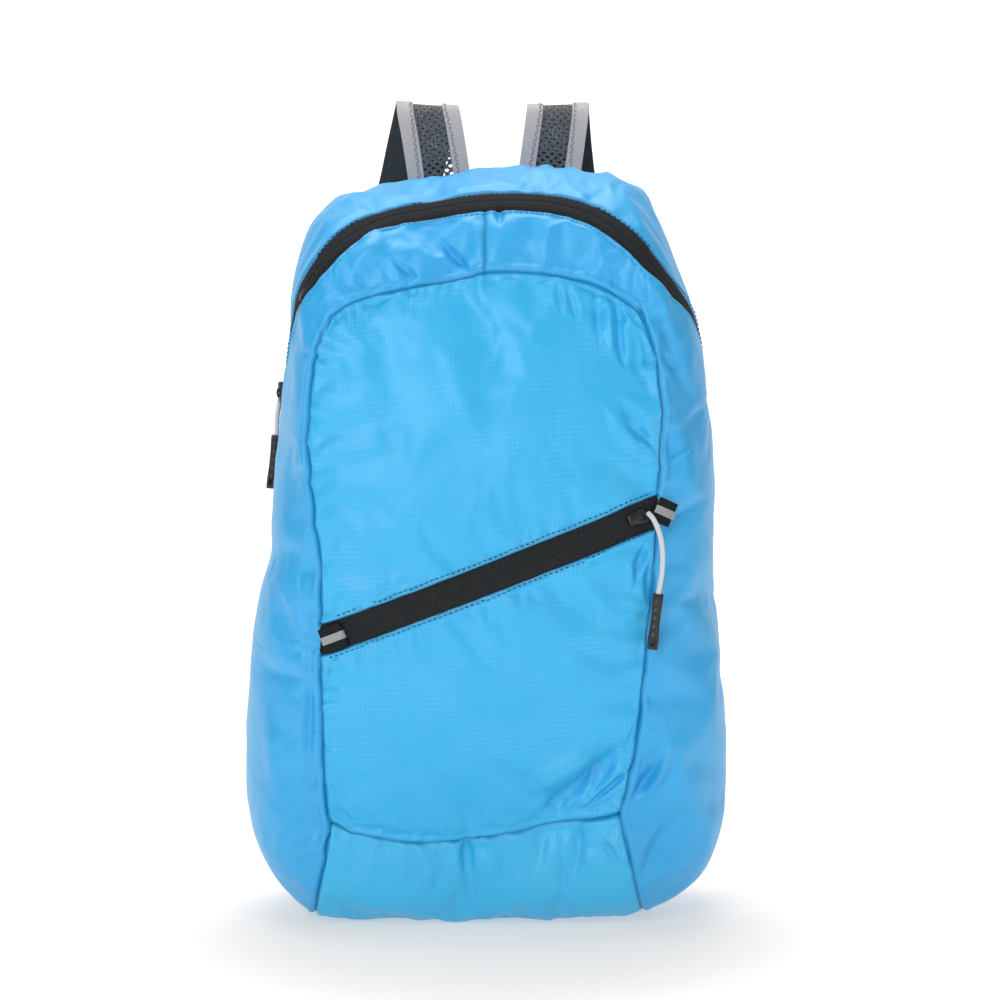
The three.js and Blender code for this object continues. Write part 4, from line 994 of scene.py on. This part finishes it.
def flat_slider():
    """A slider that lies on the XY plane with its nose towards +Y."""
    bpy.ops.mesh.primitive_cube_add(size=1, location=(0, 0, 0.0016), scale=(SLIDER_WIDTH, SLIDER_LENGTH, 0.0024))
    body = bpy.context.object
    bpy.ops.object.transform_apply(location=True, rotation=True, scale=True)
    bpy.ops.object.mode_set(mode="EDIT")
    for share in (-0.25, 0.1, 0.34):
        bpy.ops.mesh.select_all(action="SELECT")
        bpy.ops.mesh.bisect(plane_co=(0, share * SLIDER_LENGTH, 0), plane_no=(0, 1, 0))
    edit = bmesh.from_edit_mesh(body.data)
    for vertex in edit.verts:
        if vertex.co.y < -0.2 * SLIDER_LENGTH:
            vertex.co.x *= 0.74
        if vertex.co.y > 0.45 * SLIDER_LENGTH:
            vertex.co.x *= 0.8
    bpy.ops.mesh.select_all(action="DESELECT")
    for face in edit.faces:
        face.select = face.normal.z > 0.9
    bpy.ops.mesh.inset(thickness=0.0011, depth=0.0007)
    bpy.ops.object.mode_set(mode="OBJECT")
    apply_modifier(body, "BEVEL", width=0.0005, segments=3, limit_method="ANGLE", angle_limit=math.radians(30))
    bpy.ops.mesh.primitive_torus_add(
        major_radius=0.0016, minor_radius=0.0007, major_segments=28, minor_segments=12,
        location=(0, 0.0004, 0.0030), rotation=(0, math.pi / 2, 0))
    bridge = bpy.context.object
    bridge.scale = (0.85, 1.5, 1)
    bpy.ops.object.transform_apply(location=False, rotation=True, scale=True)
    pick(body)
    bridge.select_set(True)
    bpy.ops.object.join()
    bpy.ops.object.transform_apply(location=True, rotation=True, scale=True)
    bpy.ops.object.shade_smooth_by_angle(angle=math.radians(35))
    return body


def set_slider(name, pattern, place, ahead):
    """Sets a copy of the slider on the zip at a place, its nose turned ahead."""
    spot, out, _, _ = surface.find_nearest(Vector(place))
    run = (Vector(ahead) - out * Vector(ahead).dot(out)).normalized()
    seat = Matrix((run.cross(out), run, out)).transposed().to_4x4()
    piece = bpy.data.objects.new(name, pattern.data.copy())
    bpy.context.scene.collection.objects.link(piece)
    piece.data.transform(Matrix.Translation(spot) @ seat)
    piece.data.materials.append(slider_paint)
    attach(piece, "root")
    return piece


slider_paint = painted_zinc()
pattern = flat_slider()
main_slider = set_slider("main_zip_slider_cast", pattern, (-0.122557, -0.000508, 0.31266), (0.1, 0.0, -1.0))
pocket_slider = set_slider("pocket_zip_slider_cast", pattern, (0.086703, -0.090318, 0.2462), (0.93, 0.1, 0.35))
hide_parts("main_zip_slider")
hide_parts("pocket_zip_slider")
bpy.data.objects.remove(pattern)

# End tabs of the pocket zip
# Flat black webbing, folded once over the ends of the zip and caught in the side seams, with a grey
# reflective stripe woven down its middle. Each row gives a section of the band: its middle, the
# direction across it and its width.

TAB_LEFT = [
    (-0.0956, -0.0907, 0.1740, 0.37, -0.06, -0.93, 0.0145),
    (-0.0896, -0.0924, 0.1765, 0.37, -0.06, -0.93, 0.0145),
    (-0.0843, -0.0940, 0.1787, 0.37, -0.06, -0.93, 0.0145),
    (-0.0836, -0.0938, 0.1790, 0.37, -0.06, -0.93, 0.0145),
    (-0.0831, -0.0932, 0.1792, 0.37, -0.06, -0.93, 0.0145),
    (-0.0832, -0.0924, 0.1791, 0.37, -0.06, -0.93, 0.0145),
    (-0.0838, -0.0919, 0.1788, 0.37, -0.06, -0.93, 0.0145),
    (-0.0950, -0.0887, 0.1741, 0.37, -0.06, -0.93, 0.0145),
]
STRIPE_LEFT = [
    (-0.0959, -0.0917, 0.1740, 0.37, -0.06, -0.93, 0.0048),
    (-0.0899, -0.0934, 0.1765, 0.37, -0.06, -0.93, 0.0048),
    (-0.0846, -0.0949, 0.1787, 0.37, -0.06, -0.93, 0.0048),
    (-0.0831, -0.0947, 0.1792, 0.37, -0.06, -0.93, 0.0048),
    (-0.0822, -0.0935, 0.1795, 0.37, -0.06, -0.93, 0.0048),
]
TAB_RIGHT = [
    (0.0975, -0.0885, 0.2519, -0.40, -0.15, -0.90, 0.0145),
    (0.1023, -0.0889, 0.2498, -0.40, -0.15, -0.90, 0.0145),
    (0.1064, -0.0893, 0.2480, -0.40, -0.15, -0.90, 0.0145),
    (0.1070, -0.0890, 0.2477, -0.40, -0.15, -0.90, 0.0145),
    (0.1073, -0.0883, 0.2475, -0.40, -0.15, -0.90, 0.0145),
    (0.1071, -0.0876, 0.2474, -0.40, -0.15, -0.90, 0.0145),
    (0.1064, -0.0872, 0.2477, -0.40, -0.15, -0.90, 0.0145),
    (0.0975, -0.0865, 0.2515, -0.40, -0.15, -0.90, 0.0145),
]
STRIPE_RIGHT = [
    (0.0975, -0.0895, 0.2520, -0.40, -0.15, -0.90, 0.0048),
    (0.1023, -0.0899, 0.2500, -0.40, -0.15, -0.90, 0.0048),
    (0.1063, -0.0902, 0.2482, -0.40, -0.15, -0.90, 0.0048),
    (0.1077, -0.0898, 0.2475, -0.40, -0.15, -0.90, 0.0048),
    (0.1082, -0.0884, 0.2470, -0.40, -0.15, -0.90, 0.0048),
]
TAB_THICKNESS = 0.0011
STRIPE_THICKNESS = 0.0005


def band_sections(rows, step):
    """Even sections along a band: their middles, directions across and outwards, and widths."""
    even = smooth_line(rows, step)
    middle = even[:, :3]
    run = np.gradient(middle, axis=0)
    run /= np.linalg.norm(run, axis=1)[:, None]
    across = even[:, 3:6] - run * np.sum(even[:, 3:6] * run, axis=1)[:, None]
    across /= np.linalg.norm(across, axis=1)[:, None]
    return middle, across, np.cross(across, run), even[:, 6]


def woven_band(name, rows, thickness, step=0.001, level=0.0, aside=0.0, width=None, points=28):
    """A flat band with rounded selvedges, laid along its sections; its pattern follows it."""
    middle, across, outward, widths = band_sections(rows, step)
    if width is not None:
        widths = np.full(len(middle), width)
    turn = 2 * math.pi * (np.arange(points) + 0.5) / points
    flat = np.sign(np.cos(turn)) * np.abs(np.cos(turn)) ** 0.45 / 2
    high = np.sign(np.sin(turn)) * np.abs(np.sin(turn)) ** 0.45 / 2
    vertices = []
    for place, side, out, wide in zip(middle, across, outward, widths):
        centre = place + side * aside + out * level
        vertices += list(centre + side * (flat * wide)[:, None] + out * (high * thickness)[:, None])
    faces = []
    uv = []
    for row in range(len(middle) - 1):
        for k in range(points):
            here, there = row * points + k, row * points + (k + 1) % points
            faces.append((here, here + points, there + points, there))
            near_v, far_v = flat[k] * widths[row], flat[(k + 1) % points] * widths[row]
            uv += [(row * step, near_v), ((row + 1) * step, near_v), ((row + 1) * step, far_v), (row * step, far_v)]
    last = (len(middle) - 1) * points
    faces += [tuple(range(points)), tuple(reversed(range(last, last + points)))]
    uv += [(0, 0)] * (2 * points)
    piece = new_piece(name, vertices, faces, uv)
    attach(piece, "root")
    return piece


def woven_webbing():
    # Polypropylene webbing: black yarns in ribs 0.9 mm apart along the band, matt, with paler tips.
    made, tree = new_material("black_woven_webbing")
    cut = node(tree, "ShaderNodeUVMap", uv_map="cut")
    axes = node(tree, "ShaderNodeSeparateXYZ", links=[("Vector", cut.outputs["UV"])])
    waves = []
    for axis, pitch in (("X", 0.0012), ("Y", 0.0009)):
        share = node(tree, "ShaderNodeMath", links=[(0, axes.outputs[axis])], operation="DIVIDE")
        share.inputs[1].default_value = pitch
        wave = node(tree, "ShaderNodeMath", links=[(0, share.outputs[0])], operation="PINGPONG")
        wave.inputs[1].default_value = 0.5
        waves.append(wave)
    yarns = node(tree, "ShaderNodeMath", links=[(0, waves[0].outputs[0]), (1, waves[1].outputs[0])], operation="ADD")
    tint = node(tree, "ShaderNodeMix", links=[("Factor", yarns.outputs[0])], data_type="RGBA")
    tint.inputs[6].default_value = hex_colour("050607")
    tint.inputs[7].default_value = hex_colour("1c1f21")
    bump = node(tree, "ShaderNodeBump", links=[("Height", yarns.outputs[0])], Strength=0.6, Distance=0.0003)
    shader = node(
        tree, "ShaderNodeBsdfPrincipled",
        links=[("Base Color", tint.outputs[2]), ("Normal", bump.outputs["Normal"])], Roughness=0.7)
    shader.inputs["Specular IOR Level"].default_value = 0.2
    finish_material(tree, shader)
    return made


def reflective_tape():
    # Glass-bead reflective tape: flat grey with a faint pearly grain and a soft metallic look.
    made, tree = new_material("grey_reflective_tape")
    cut = node(tree, "ShaderNodeUVMap", uv_map="cut")
    beads = node(tree, "ShaderNodeTexVoronoi", links=[("Vector", cut.outputs["UV"])], Scale=1600.0)
    tint = node(tree, "ShaderNodeMix", links=[("Factor", beads.outputs["Distance"])], data_type="RGBA")
    tint.inputs[6].default_value = hex_colour("9a9fa2")
    tint.inputs[7].default_value = hex_colour("7d8386")
    bump = node(
        tree, "ShaderNodeBump", links=[("Height", beads.outputs["Distance"])], Strength=0.2, Distance=0.0001)
    shader = node(
        tree, "ShaderNodeBsdfPrincipled",
        links=[("Base Color", tint.outputs[2]), ("Normal", bump.outputs["Normal"])], Roughness=0.38)
    shader.inputs["Metallic"].default_value = 0.35
    finish_material(tree, shader)
    return made


webbing_weave = woven_webbing()
stripe_finish = reflective_tape()
for side, tab_rows, stripe_rows in (("left", TAB_LEFT, STRIPE_LEFT), ("right", TAB_RIGHT, STRIPE_RIGHT)):
    tab = woven_band("pocket_tab_webbing_" + side, tab_rows, TAB_THICKNESS, step=0.0006)
    tab.data.materials.append(webbing_weave)
    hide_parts("pocket_tab_" + side)
    stripe = woven_band("pocket_tab_stripe_" + side, stripe_rows, STRIPE_THICKNESS, step=0.0006, points=20)
    stripe.data.materials.append(stripe_finish)
    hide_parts("pocket_stripe_" + side)

# Shoulder straps
# A band of dark knitted net, bound on both edges with grey woven tape that is zigzag stitched, and
# lined with a plain black knit where it lies on the wearer. Sewn into the top seam of the back.

STRAP_LEFT = [
    (-0.0305, 0.0445, 0.4210, 0.99, -0.04, 0.15, 0.0418),
    (-0.0307, 0.0475, 0.4231, 0.99, -0.05, 0.11, 0.0418),
    (-0.0308, 0.0497, 0.4264, 1.00, -0.04, 0.05, 0.0418),
    (-0.0295, 0.0508, 0.4345, 1.00, -0.01, 0.02, 0.0440),
    (-0.0302, 0.0514, 0.4439, 1.00, 0.00, 0.08, 0.0436),
    (-0.0337, 0.0542, 0.4662, 0.99, 0.03, 0.14, 0.0409),
    (-0.0357, 0.0561, 0.4763, 0.99, 0.07, 0.15, 0.0388),
    (-0.0365, 0.0577, 0.4801, 0.99, 0.11, 0.12, 0.0380),
    (-0.0368, 0.0594, 0.4819, 0.99, 0.12, 0.04, 0.0380),
    (-0.0373, 0.0634, 0.4837, 0.99, 0.13, -0.07, 0.0380),
    (-0.0376, 0.0654, 0.4828, 0.99, 0.07, -0.11, 0.0380),
    (-0.0379, 0.0673, 0.4810, 0.99, 0.06, -0.12, 0.0380),
    (-0.0394, 0.0711, 0.4745, 0.97, 0.06, -0.22, 0.0380),
    (-0.0441, 0.0762, 0.4540, 0.98, 0.03, -0.20, 0.0380),
    (-0.0488, 0.0806, 0.4327, 0.97, 0.04, -0.23, 0.0380),
    (-0.0573, 0.0871, 0.4007, 0.96, 0.04, -0.27, 0.0380),
    (-0.0688, 0.0930, 0.3637, 0.95, 0.03, -0.31, 0.0380),
    (-0.0823, 0.0974, 0.3227, 0.96, 0.02, -0.29, 0.0380),
    (-0.0930, 0.0991, 0.2833, 0.97, 0.00, -0.24, 0.0370),
    (-0.1003, 0.0978, 0.2480, 0.99, -0.01, -0.17, 0.0350),
    (-0.1052, 0.0945, 0.2168, 0.99, -0.01, -0.15, 0.0319),
]
STRAP_RIGHT = [
    (0.0384, 0.0442, 0.4273, 1.00, 0.01, -0.03, 0.0418),
    (0.0384, 0.0471, 0.4295, 1.00, 0.01, -0.02, 0.0418),
    (0.0371, 0.0493, 0.4328, 1.00, 0.01, -0.01, 0.0446),
    (0.0373, 0.0505, 0.4388, 0.99, -0.02, -0.10, 0.0446),
    (0.0379, 0.0514, 0.4439, 1.00, -0.01, -0.08, 0.0446),
    (0.0410, 0.0542, 0.4662, 0.99, -0.02, -0.10, 0.0403),
    (0.0423, 0.0561, 0.4763, 0.99, -0.04, -0.12, 0.0388),
    (0.0428, 0.0577, 0.4801, 0.99, -0.06, -0.07, 0.0380),
    (0.0429, 0.0594, 0.4819, 1.00, -0.05, -0.01, 0.0380),
    (0.0431, 0.0634, 0.4837, 1.00, -0.04, 0.03, 0.0380),
    (0.0432, 0.0654, 0.4829, 1.00, -0.01, 0.04, 0.0380),
    (0.0432, 0.0673, 0.4810, 1.00, -0.01, 0.04, 0.0380),
    (0.0437, 0.0711, 0.4745, 1.00, -0.01, 0.07, 0.0380),
    (0.0456, 0.0762, 0.4540, 0.99, -0.02, 0.11, 0.0380),
    (0.0487, 0.0806, 0.4327, 0.98, -0.03, 0.19, 0.0380),
    (0.0567, 0.0871, 0.4007, 0.96, -0.04, 0.26, 0.0380),
    (0.0682, 0.0930, 0.3637, 0.95, -0.04, 0.31, 0.0380),
    (0.0817, 0.0974, 0.3227, 0.96, -0.02, 0.29, 0.0380),
    (0.0924, 0.0991, 0.2833, 0.97, -0.00, 0.24, 0.0370),
    (0.0998, 0.0978, 0.2480, 0.99, 0.01, 0.17, 0.0350),
    (0.1047, 0.0945, 0.2168, 0.99, 0.01, 0.15, 0.0319),
]
STRAP_WIDTH = 0.038
NET_HALF_CELL = 0.0023
NET_HOLE = (0.00118, 0.00098)
NET_THICKNESS = 0.0009
OPEN_NET_LENGTH = 0.031
LINING_THICKNESS = 0.0009
EDGE_TAPE_WIDTH = 0.0101
EDGE_TAPE_THICKNESS = 0.0013
ZIGZAG_STEP = 0.0022


def lay_on(flat, sections):
    """Moves flat points (across, along, out), drawn for the full strap, onto a band."""
    middle, across, outward, widths = sections
    reach = np.concatenate([[0], np.cumsum(np.linalg.norm(np.diff(middle, axis=0), axis=1))])
    at = np.clip(flat[:, 1], 0, reach[-1])
    spread_out = [
        np.stack([np.interp(at, reach, column) for column in values.T], axis=1)
        for values in (middle, across, outward)]
    share = flat[:, 0] * np.interp(at, reach, widths) / STRAP_WIDTH
    return spread_out[0] + spread_out[1] * share[:, None] + spread_out[2] * flat[:, 2][:, None], spread_out


def strap_net(name, rows):
    """Knitted net with round holes, in a lattice of squares that stand on their corners."""
    sections = band_sections(rows, 0.001)
    length = np.linalg.norm(np.diff(sections[0], axis=0), axis=1).sum()
    corners = [(1, 0), (0.5, 0.5), (0, 1), (-0.5, 0.5), (-1, 0), (-0.5, -0.5), (0, -1), (0.5, -0.5)]
    vertices = []
    faces = []
    uv = []
    for row in range(1, int(length / NET_HALF_CELL)):
        for column in range(-3, 3):
            centre = ((column + 0.5 + (row % 2) / 2) * 2 * NET_HALF_CELL, row * NET_HALF_CELL)
            open_share = 1.0 if centre[1] < OPEN_NET_LENGTH else 0.62
            first = len(vertices)
            for x, y in corners:
                vertices.append((centre[0] + x * NET_HALF_CELL, centre[1] + y * NET_HALF_CELL, 0.0002))
            for k in range(8):
                turn = k * math.pi / 4
                vertices.append((
                    centre[0] + open_share * NET_HOLE[0] * math.cos(turn),
                    centre[1] + open_share * NET_HOLE[1] * math.sin(turn), 0.0002))
            for k in range(8):
                loop = (k, (k + 1) % 8, 8 + (k + 1) % 8, 8 + k)
                faces.append(tuple(first + corner for corner in loop))
                uv += [vertices[first + corner][:2] for corner in loop]
    placed, _ = lay_on(np.array(vertices), sections)
    net = new_piece(name, placed, faces, uv)
    bpy.ops.object.mode_set(mode="EDIT")
    bpy.ops.mesh.select_all(action="SELECT")
    bpy.ops.mesh.remove_doubles(threshold=0.00004)
    bpy.ops.object.mode_set(mode="OBJECT")
    apply_modifier(net, "SOLIDIFY", thickness=NET_THICKNESS, offset=0)
    bpy.ops.object.shade_smooth_by_angle(angle=math.radians(50))
    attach(net, "root")
    return net


def zigzag(name, rows, aside, finish):
    """A zigzag of thread along the inner edge of an edge tape."""
    sections = band_sections(rows, 0.001)
    length = np.linalg.norm(np.diff(sections[0], axis=0), axis=1).sum()
    count = int(length / ZIGZAG_STEP) - 1
    flat = np.array([
        (aside, (k + 0.75) * ZIGZAG_STEP, NET_THICKNESS / 2 + EDGE_TAPE_THICKNESS + 0.0004) for k in range(count)])
    placed, (_, across, outward) = lay_on(flat, sections)
    run = np.cross(outward, across)
    lean = np.where(np.arange(count) % 2 == 0, 1.0, -1.0)[:, None]
    ahead = run * 0.8 + across * lean * 0.75
    ahead /= np.linalg.norm(ahead, axis=1)[:, None]
    outward = outward / np.linalg.norm(outward, axis=1)[:, None]
    piece = thread_bars(name, placed, ahead, outward, 0.0027, 0.0006, finish)
    return piece


def knitted_net():
    # Warp-knitted polyester: dull charcoal yarns with paler loops, so the net looks finely flecked.
    made, tree = new_material("charcoal_knitted_net")
    cut = node(tree, "ShaderNodeUVMap", uv_map="cut")
    lie = node(tree, "ShaderNodeMapping", links=[("Vector", cut.outputs["UV"])], Scale=(1500, 900, 1))
    loops = node(tree, "ShaderNodeTexVoronoi", links=[("Vector", lie.outputs["Vector"])], Scale=1.0)
    shade = node(tree, "ShaderNodeTexNoise", links=[("Vector", cut.outputs["UV"])], Scale=500.0, Detail=2.0)
    mixed = node(
        tree, "ShaderNodeMath", links=[(0, loops.outputs["Distance"]), (1, shade.outputs["Fac"])],
        operation="MULTIPLY")
    tint = node(tree, "ShaderNodeMix", links=[("Factor", mixed.outputs[0])], data_type="RGBA")
    tint.inputs[6].default_value = hex_colour("26292e")
    tint.inputs[7].default_value = hex_colour("858b90")
    bump = node(
        tree, "ShaderNodeBump", links=[("Height", loops.outputs["Distance"])], Strength=0.6, Distance=0.0003)
    shader = node(
        tree, "ShaderNodeBsdfPrincipled",
        links=[("Base Color", tint.outputs[2]), ("Normal", bump.outputs["Normal"])], Roughness=0.8)
    shader.inputs["Sheen Weight"].default_value = 0.2
    finish_material(tree, shader)
    return made


def knitted_lining():
    # Close black knit: fine columns of stitches, matt and almost without highlights.
    made, tree = new_material("black_knitted_lining")
    cut = node(tree, "ShaderNodeUVMap", uv_map="cut")
    lie = node(tree, "ShaderNodeMapping", links=[("Vector", cut.outputs["UV"])], Scale=(700, 1200, 1))
    loops = node(tree, "ShaderNodeTexVoronoi", links=[("Vector", lie.outputs["Vector"])], Scale=1.0)
    tint = node(tree, "ShaderNodeMix", links=[("Factor", loops.outputs["Distance"])], data_type="RGBA")
    tint.inputs[6].default_value = hex_colour("1c2326")
    tint.inputs[7].default_value = hex_colour("333b3f")
    bump = node(
        tree, "ShaderNodeBump", links=[("Height", loops.outputs["Distance"])], Strength=0.5, Distance=0.0003)
    shader = node(
        tree, "ShaderNodeBsdfPrincipled",
        links=[("Base Color", tint.outputs[2]), ("Normal", bump.outputs["Normal"])], Roughness=0.85)
    finish_material(tree, shader)
    return made


def grosgrain_tape():
    # Woven polyester binding: warm grey, with fine cross ribs 0.8 mm apart and a soft fuzz.
    made, tree = new_material("warm_grey_woven_binding")
    cut = node(tree, "ShaderNodeUVMap", uv_map="cut")
    axes = node(tree, "ShaderNodeSeparateXYZ", links=[("Vector", cut.outputs["UV"])])
    share = node(tree, "ShaderNodeMath", links=[(0, axes.outputs["X"])], operation="DIVIDE")
    share.inputs[1].default_value = 0.0008
    rib = node(tree, "ShaderNodeMath", links=[(0, share.outputs[0])], operation="PINGPONG")
    rib.inputs[1].default_value = 0.5
    fuzz = node(tree, "ShaderNodeTexNoise", links=[("Vector", cut.outputs["UV"])], Scale=900.0, Detail=3.0)
    mixed = node(tree, "ShaderNodeMath", links=[(0, rib.outputs[0]), (1, fuzz.outputs["Fac"])], operation="ADD")
    tint = node(tree, "ShaderNodeMix", links=[("Factor", fuzz.outputs["Fac"])], data_type="RGBA")
    tint.inputs[6].default_value = hex_colour("9b9596")
    tint.inputs[7].default_value = hex_colour("c4bec0")
    bump = node(tree, "ShaderNodeBump", links=[("Height", mixed.outputs[0])], Strength=0.5, Distance=0.0003)
    shader = node(
        tree, "ShaderNodeBsdfPrincipled",
        links=[("Base Color", tint.outputs[2]), ("Normal", bump.outputs["Normal"])], Roughness=0.8)
    shader.inputs["Sheen Weight"].default_value = 0.25
    finish_material(tree, shader)
    return made


net_knit = knitted_net()
lining_knit = knitted_lining()
binding = grosgrain_tape()
grey_thread = sewing_thread("grey_polyester_thread", "6f6b70", "8a858a")
TOP_OF_STRAP = 9
for side, rows, inward in (("left", STRAP_LEFT, 1), ("right", STRAP_RIGHT, -1)):
    net = strap_net("strap_knitted_net_" + side, rows)
    net.data.materials.append(net_knit)
    lining = woven_band(
        "strap_lining_" + side, rows[TOP_OF_STRAP:], LINING_THICKNESS, step=0.002, level=-0.0011)
    lining.data.materials.append(lining_knit)
    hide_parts("strap_net_" + side)
    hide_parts("strap_net_" + side)
    for edge, hand in (("inner", inward), ("outer", -inward)):
        aside = hand * (STRAP_WIDTH - EDGE_TAPE_WIDTH) / 2
        tape = woven_band(
            f"strap_binding_{edge}_{side}", rows, EDGE_TAPE_THICKNESS, step=0.0015,
            level=NET_THICKNESS / 2 + EDGE_TAPE_THICKNESS / 2, aside=aside, width=EDGE_TAPE_WIDTH, points=20)
        tape.data.materials.append(binding)
        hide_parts(f"strap_tape_{edge}_{side}")
        zigzag(
            f"strap_zigzag_{edge}_{side}", rows, hand * (STRAP_WIDTH / 2 - EDGE_TAPE_WIDTH + 0.0016), grey_thread)

# Buckles
# Ladder buckles moulded from acetal: a rounded frame with a middle bar. The strap is sewn round the
# upper bar and the narrow webbing runs round the middle one.

LOCK_WIDTH = 0.031
LOCK_LENGTH = 0.024
LOCK_THICKNESS = 0.005
LOCK_BAR = 0.0044


def moulded_acetal():
    # Injection moulded acetal: black, satin and slightly waxy, with a very fine moulded grain.
    made, tree = new_material("moulded_black_acetal")
    place = node(tree, "ShaderNodeTexCoord")
    grain = node(tree, "ShaderNodeTexNoise", links=[("Vector", place.outputs["Object"])], Scale=1800.0, Detail=2.0)
    tint = node(tree, "ShaderNodeMix", links=[("Factor", grain.outputs["Fac"])], data_type="RGBA")
    tint.inputs[6].default_value = hex_colour("131516")
    tint.inputs[7].default_value = hex_colour("222526")
    bump = node(tree, "ShaderNodeBump", links=[("Height", grain.outputs["Fac"])], Strength=0.2, Distance=0.0001)
    shader = node(
        tree, "ShaderNodeBsdfPrincipled",
        links=[("Base Color", tint.outputs[2]), ("Normal", bump.outputs["Normal"])], Roughness=0.36)
    finish_material(tree, shader)
    return made


def flat_lock():
    """A buckle on the XY plane: its upper bar at y = 0, and its foot at y = LOCK_LENGTH."""
    bpy.ops.mesh.primitive_cube_add(
        size=1, location=(0, LOCK_LENGTH / 2, 0), scale=(LOCK_WIDTH, LOCK_LENGTH, LOCK_THICKNESS))
    body = bpy.context.object
    bpy.ops.object.transform_apply(location=True, rotation=True, scale=True)
    slot = (LOCK_LENGTH - 3 * LOCK_BAR) / 2
    starts = (LOCK_BAR, 2 * LOCK_BAR + slot)
    bpy.ops.object.mode_set(mode="EDIT")
    for cut in (starts[0], starts[0] + slot, starts[1], starts[1] + slot):
        bpy.ops.mesh.select_all(action="SELECT")
        bpy.ops.mesh.bisect(plane_co=(0, cut, 0), plane_no=(0, 1, 0))
    for cut in (LOCK_BAR - LOCK_WIDTH / 2, LOCK_WIDTH / 2 - LOCK_BAR):
        bpy.ops.mesh.select_all(action="SELECT")
        bpy.ops.mesh.bisect(plane_co=(cut, 0, 0), plane_no=(1, 0, 0))
    for start in starts:
        bpy.ops.mesh.select_all(action="DESELECT")
        edit = bmesh.from_edit_mesh(body.data)
        for face in edit.faces:
            middle = face.calc_center_median()
            in_slot = start < middle.y < start + slot and abs(middle.x) < LOCK_WIDTH / 2 - LOCK_BAR
            face.select = in_slot and abs(face.normal.z) > 0.9
        bpy.ops.mesh.bridge_edge_loops()
    edit = bmesh.from_edit_mesh(body.data)
    for vertex in edit.verts:
        if vertex.co.y > LOCK_LENGTH - 0.0001:
            vertex.co.z *= 0.62
    bpy.ops.object.mode_set(mode="OBJECT")
    apply_modifier(body, "BEVEL", width=0.0012, segments=4, limit_method="ANGLE", angle_limit=math.radians(40))
    bpy.ops.object.shade_smooth_by_angle(angle=math.radians(40))
    return body


acetal = moulded_acetal()
pattern = flat_lock()
for side, rows in (("left", STRAP_LEFT), ("right", STRAP_RIGHT)):
    middle, across, outward, _ = band_sections(rows, 0.001)
    run = np.cross(outward[-1], across[-1])
    seat = Matrix((across[-1], run, outward[-1])).transposed().to_4x4()
    lock = bpy.data.objects.new("strap_ladder_buckle_" + side, pattern.data.copy())
    bpy.context.scene.collection.objects.link(lock)
    lock.data.transform(Matrix.Translation(Vector(middle[-1] + run * 0.0003)) @ seat)
    lock.data.materials.append(acetal)
    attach(lock, "root")
    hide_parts("strap_lock_" + side)
bpy.data.objects.remove(pattern)

# Webbing and anchors
# Narrow black webbing runs from each buckle down to the lower back corner, where a folded tab of
# the shell's own cloth takes its end.

WEBBING_LEFT = [
    (-0.1091, 0.0919, 0.1923, 0.99, -0.02, -0.12, 0.0200),
    (-0.1110, 0.0882, 0.1709, 1.00, -0.01, -0.03, 0.0200),
    (-0.1108, 0.0825, 0.1497, 1.00, 0.01, 0.04, 0.0200),
    (-0.1095, 0.0759, 0.1289, 1.00, 0.02, 0.07, 0.0200),
    (-0.1066, 0.0653, 0.0979, 1.00, 0.03, 0.08, 0.0200),
    (-0.1044, 0.0552, 0.0667, 1.00, 0.01, 0.05, 0.0200),
]
WEBBING_RIGHT = [
    (0.1085, 0.0919, 0.1923, 0.99, 0.02, 0.12, 0.0200),
    (0.1104, 0.0882, 0.1709, 1.00, 0.01, 0.03, 0.0200),
    (0.1102, 0.0825, 0.1497, 1.00, -0.01, -0.04, 0.0200),
    (0.1089, 0.0758, 0.1289, 1.00, -0.02, -0.07, 0.0200),
    (0.1060, 0.0651, 0.0980, 1.00, -0.03, -0.08, 0.0200),
    (0.1038, 0.0551, 0.0669, 1.00, -0.01, -0.05, 0.0200),
]
ANCHOR_LEFT = [
    (-0.1034, 0.0468, 0.0332, -1.00, -0.00, -0.02, 0.0340),
    (-0.1038, 0.0504, 0.0498, -1.00, -0.01, -0.03, 0.0290),
    (-0.1044, 0.0551, 0.0661, -1.00, -0.01, -0.03, 0.0240),
]
ANCHOR_RIGHT = [
    (0.1028, 0.0470, 0.0333, -1.00, 0.00, 0.02, 0.0340),
    (0.1032, 0.0503, 0.0499, -1.00, 0.01, 0.03, 0.0290),
    (0.1037, 0.0549, 0.0663, -1.00, 0.01, 0.03, 0.0240),
]
WEBBING_THICKNESS = 0.0017
ANCHOR_THICKNESS = 0.0024

for side, webbing_rows, anchor_rows in (
    ("left", WEBBING_LEFT, ANCHOR_LEFT), ("right", WEBBING_RIGHT, ANCHOR_RIGHT),
):
    webbing = woven_band("strap_woven_webbing_" + side, webbing_rows, WEBBING_THICKNESS, step=0.0015)
    webbing.data.materials.append(webbing_weave)
    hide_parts("strap_webbing_" + side)
    anchor = woven_band("strap_anchor_cloth_" + side, anchor_rows, ANCHOR_THICKNESS, step=0.0015)
    anchor.data.materials.append(shaded_side_cloth)
    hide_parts("strap_anchor_" + side)
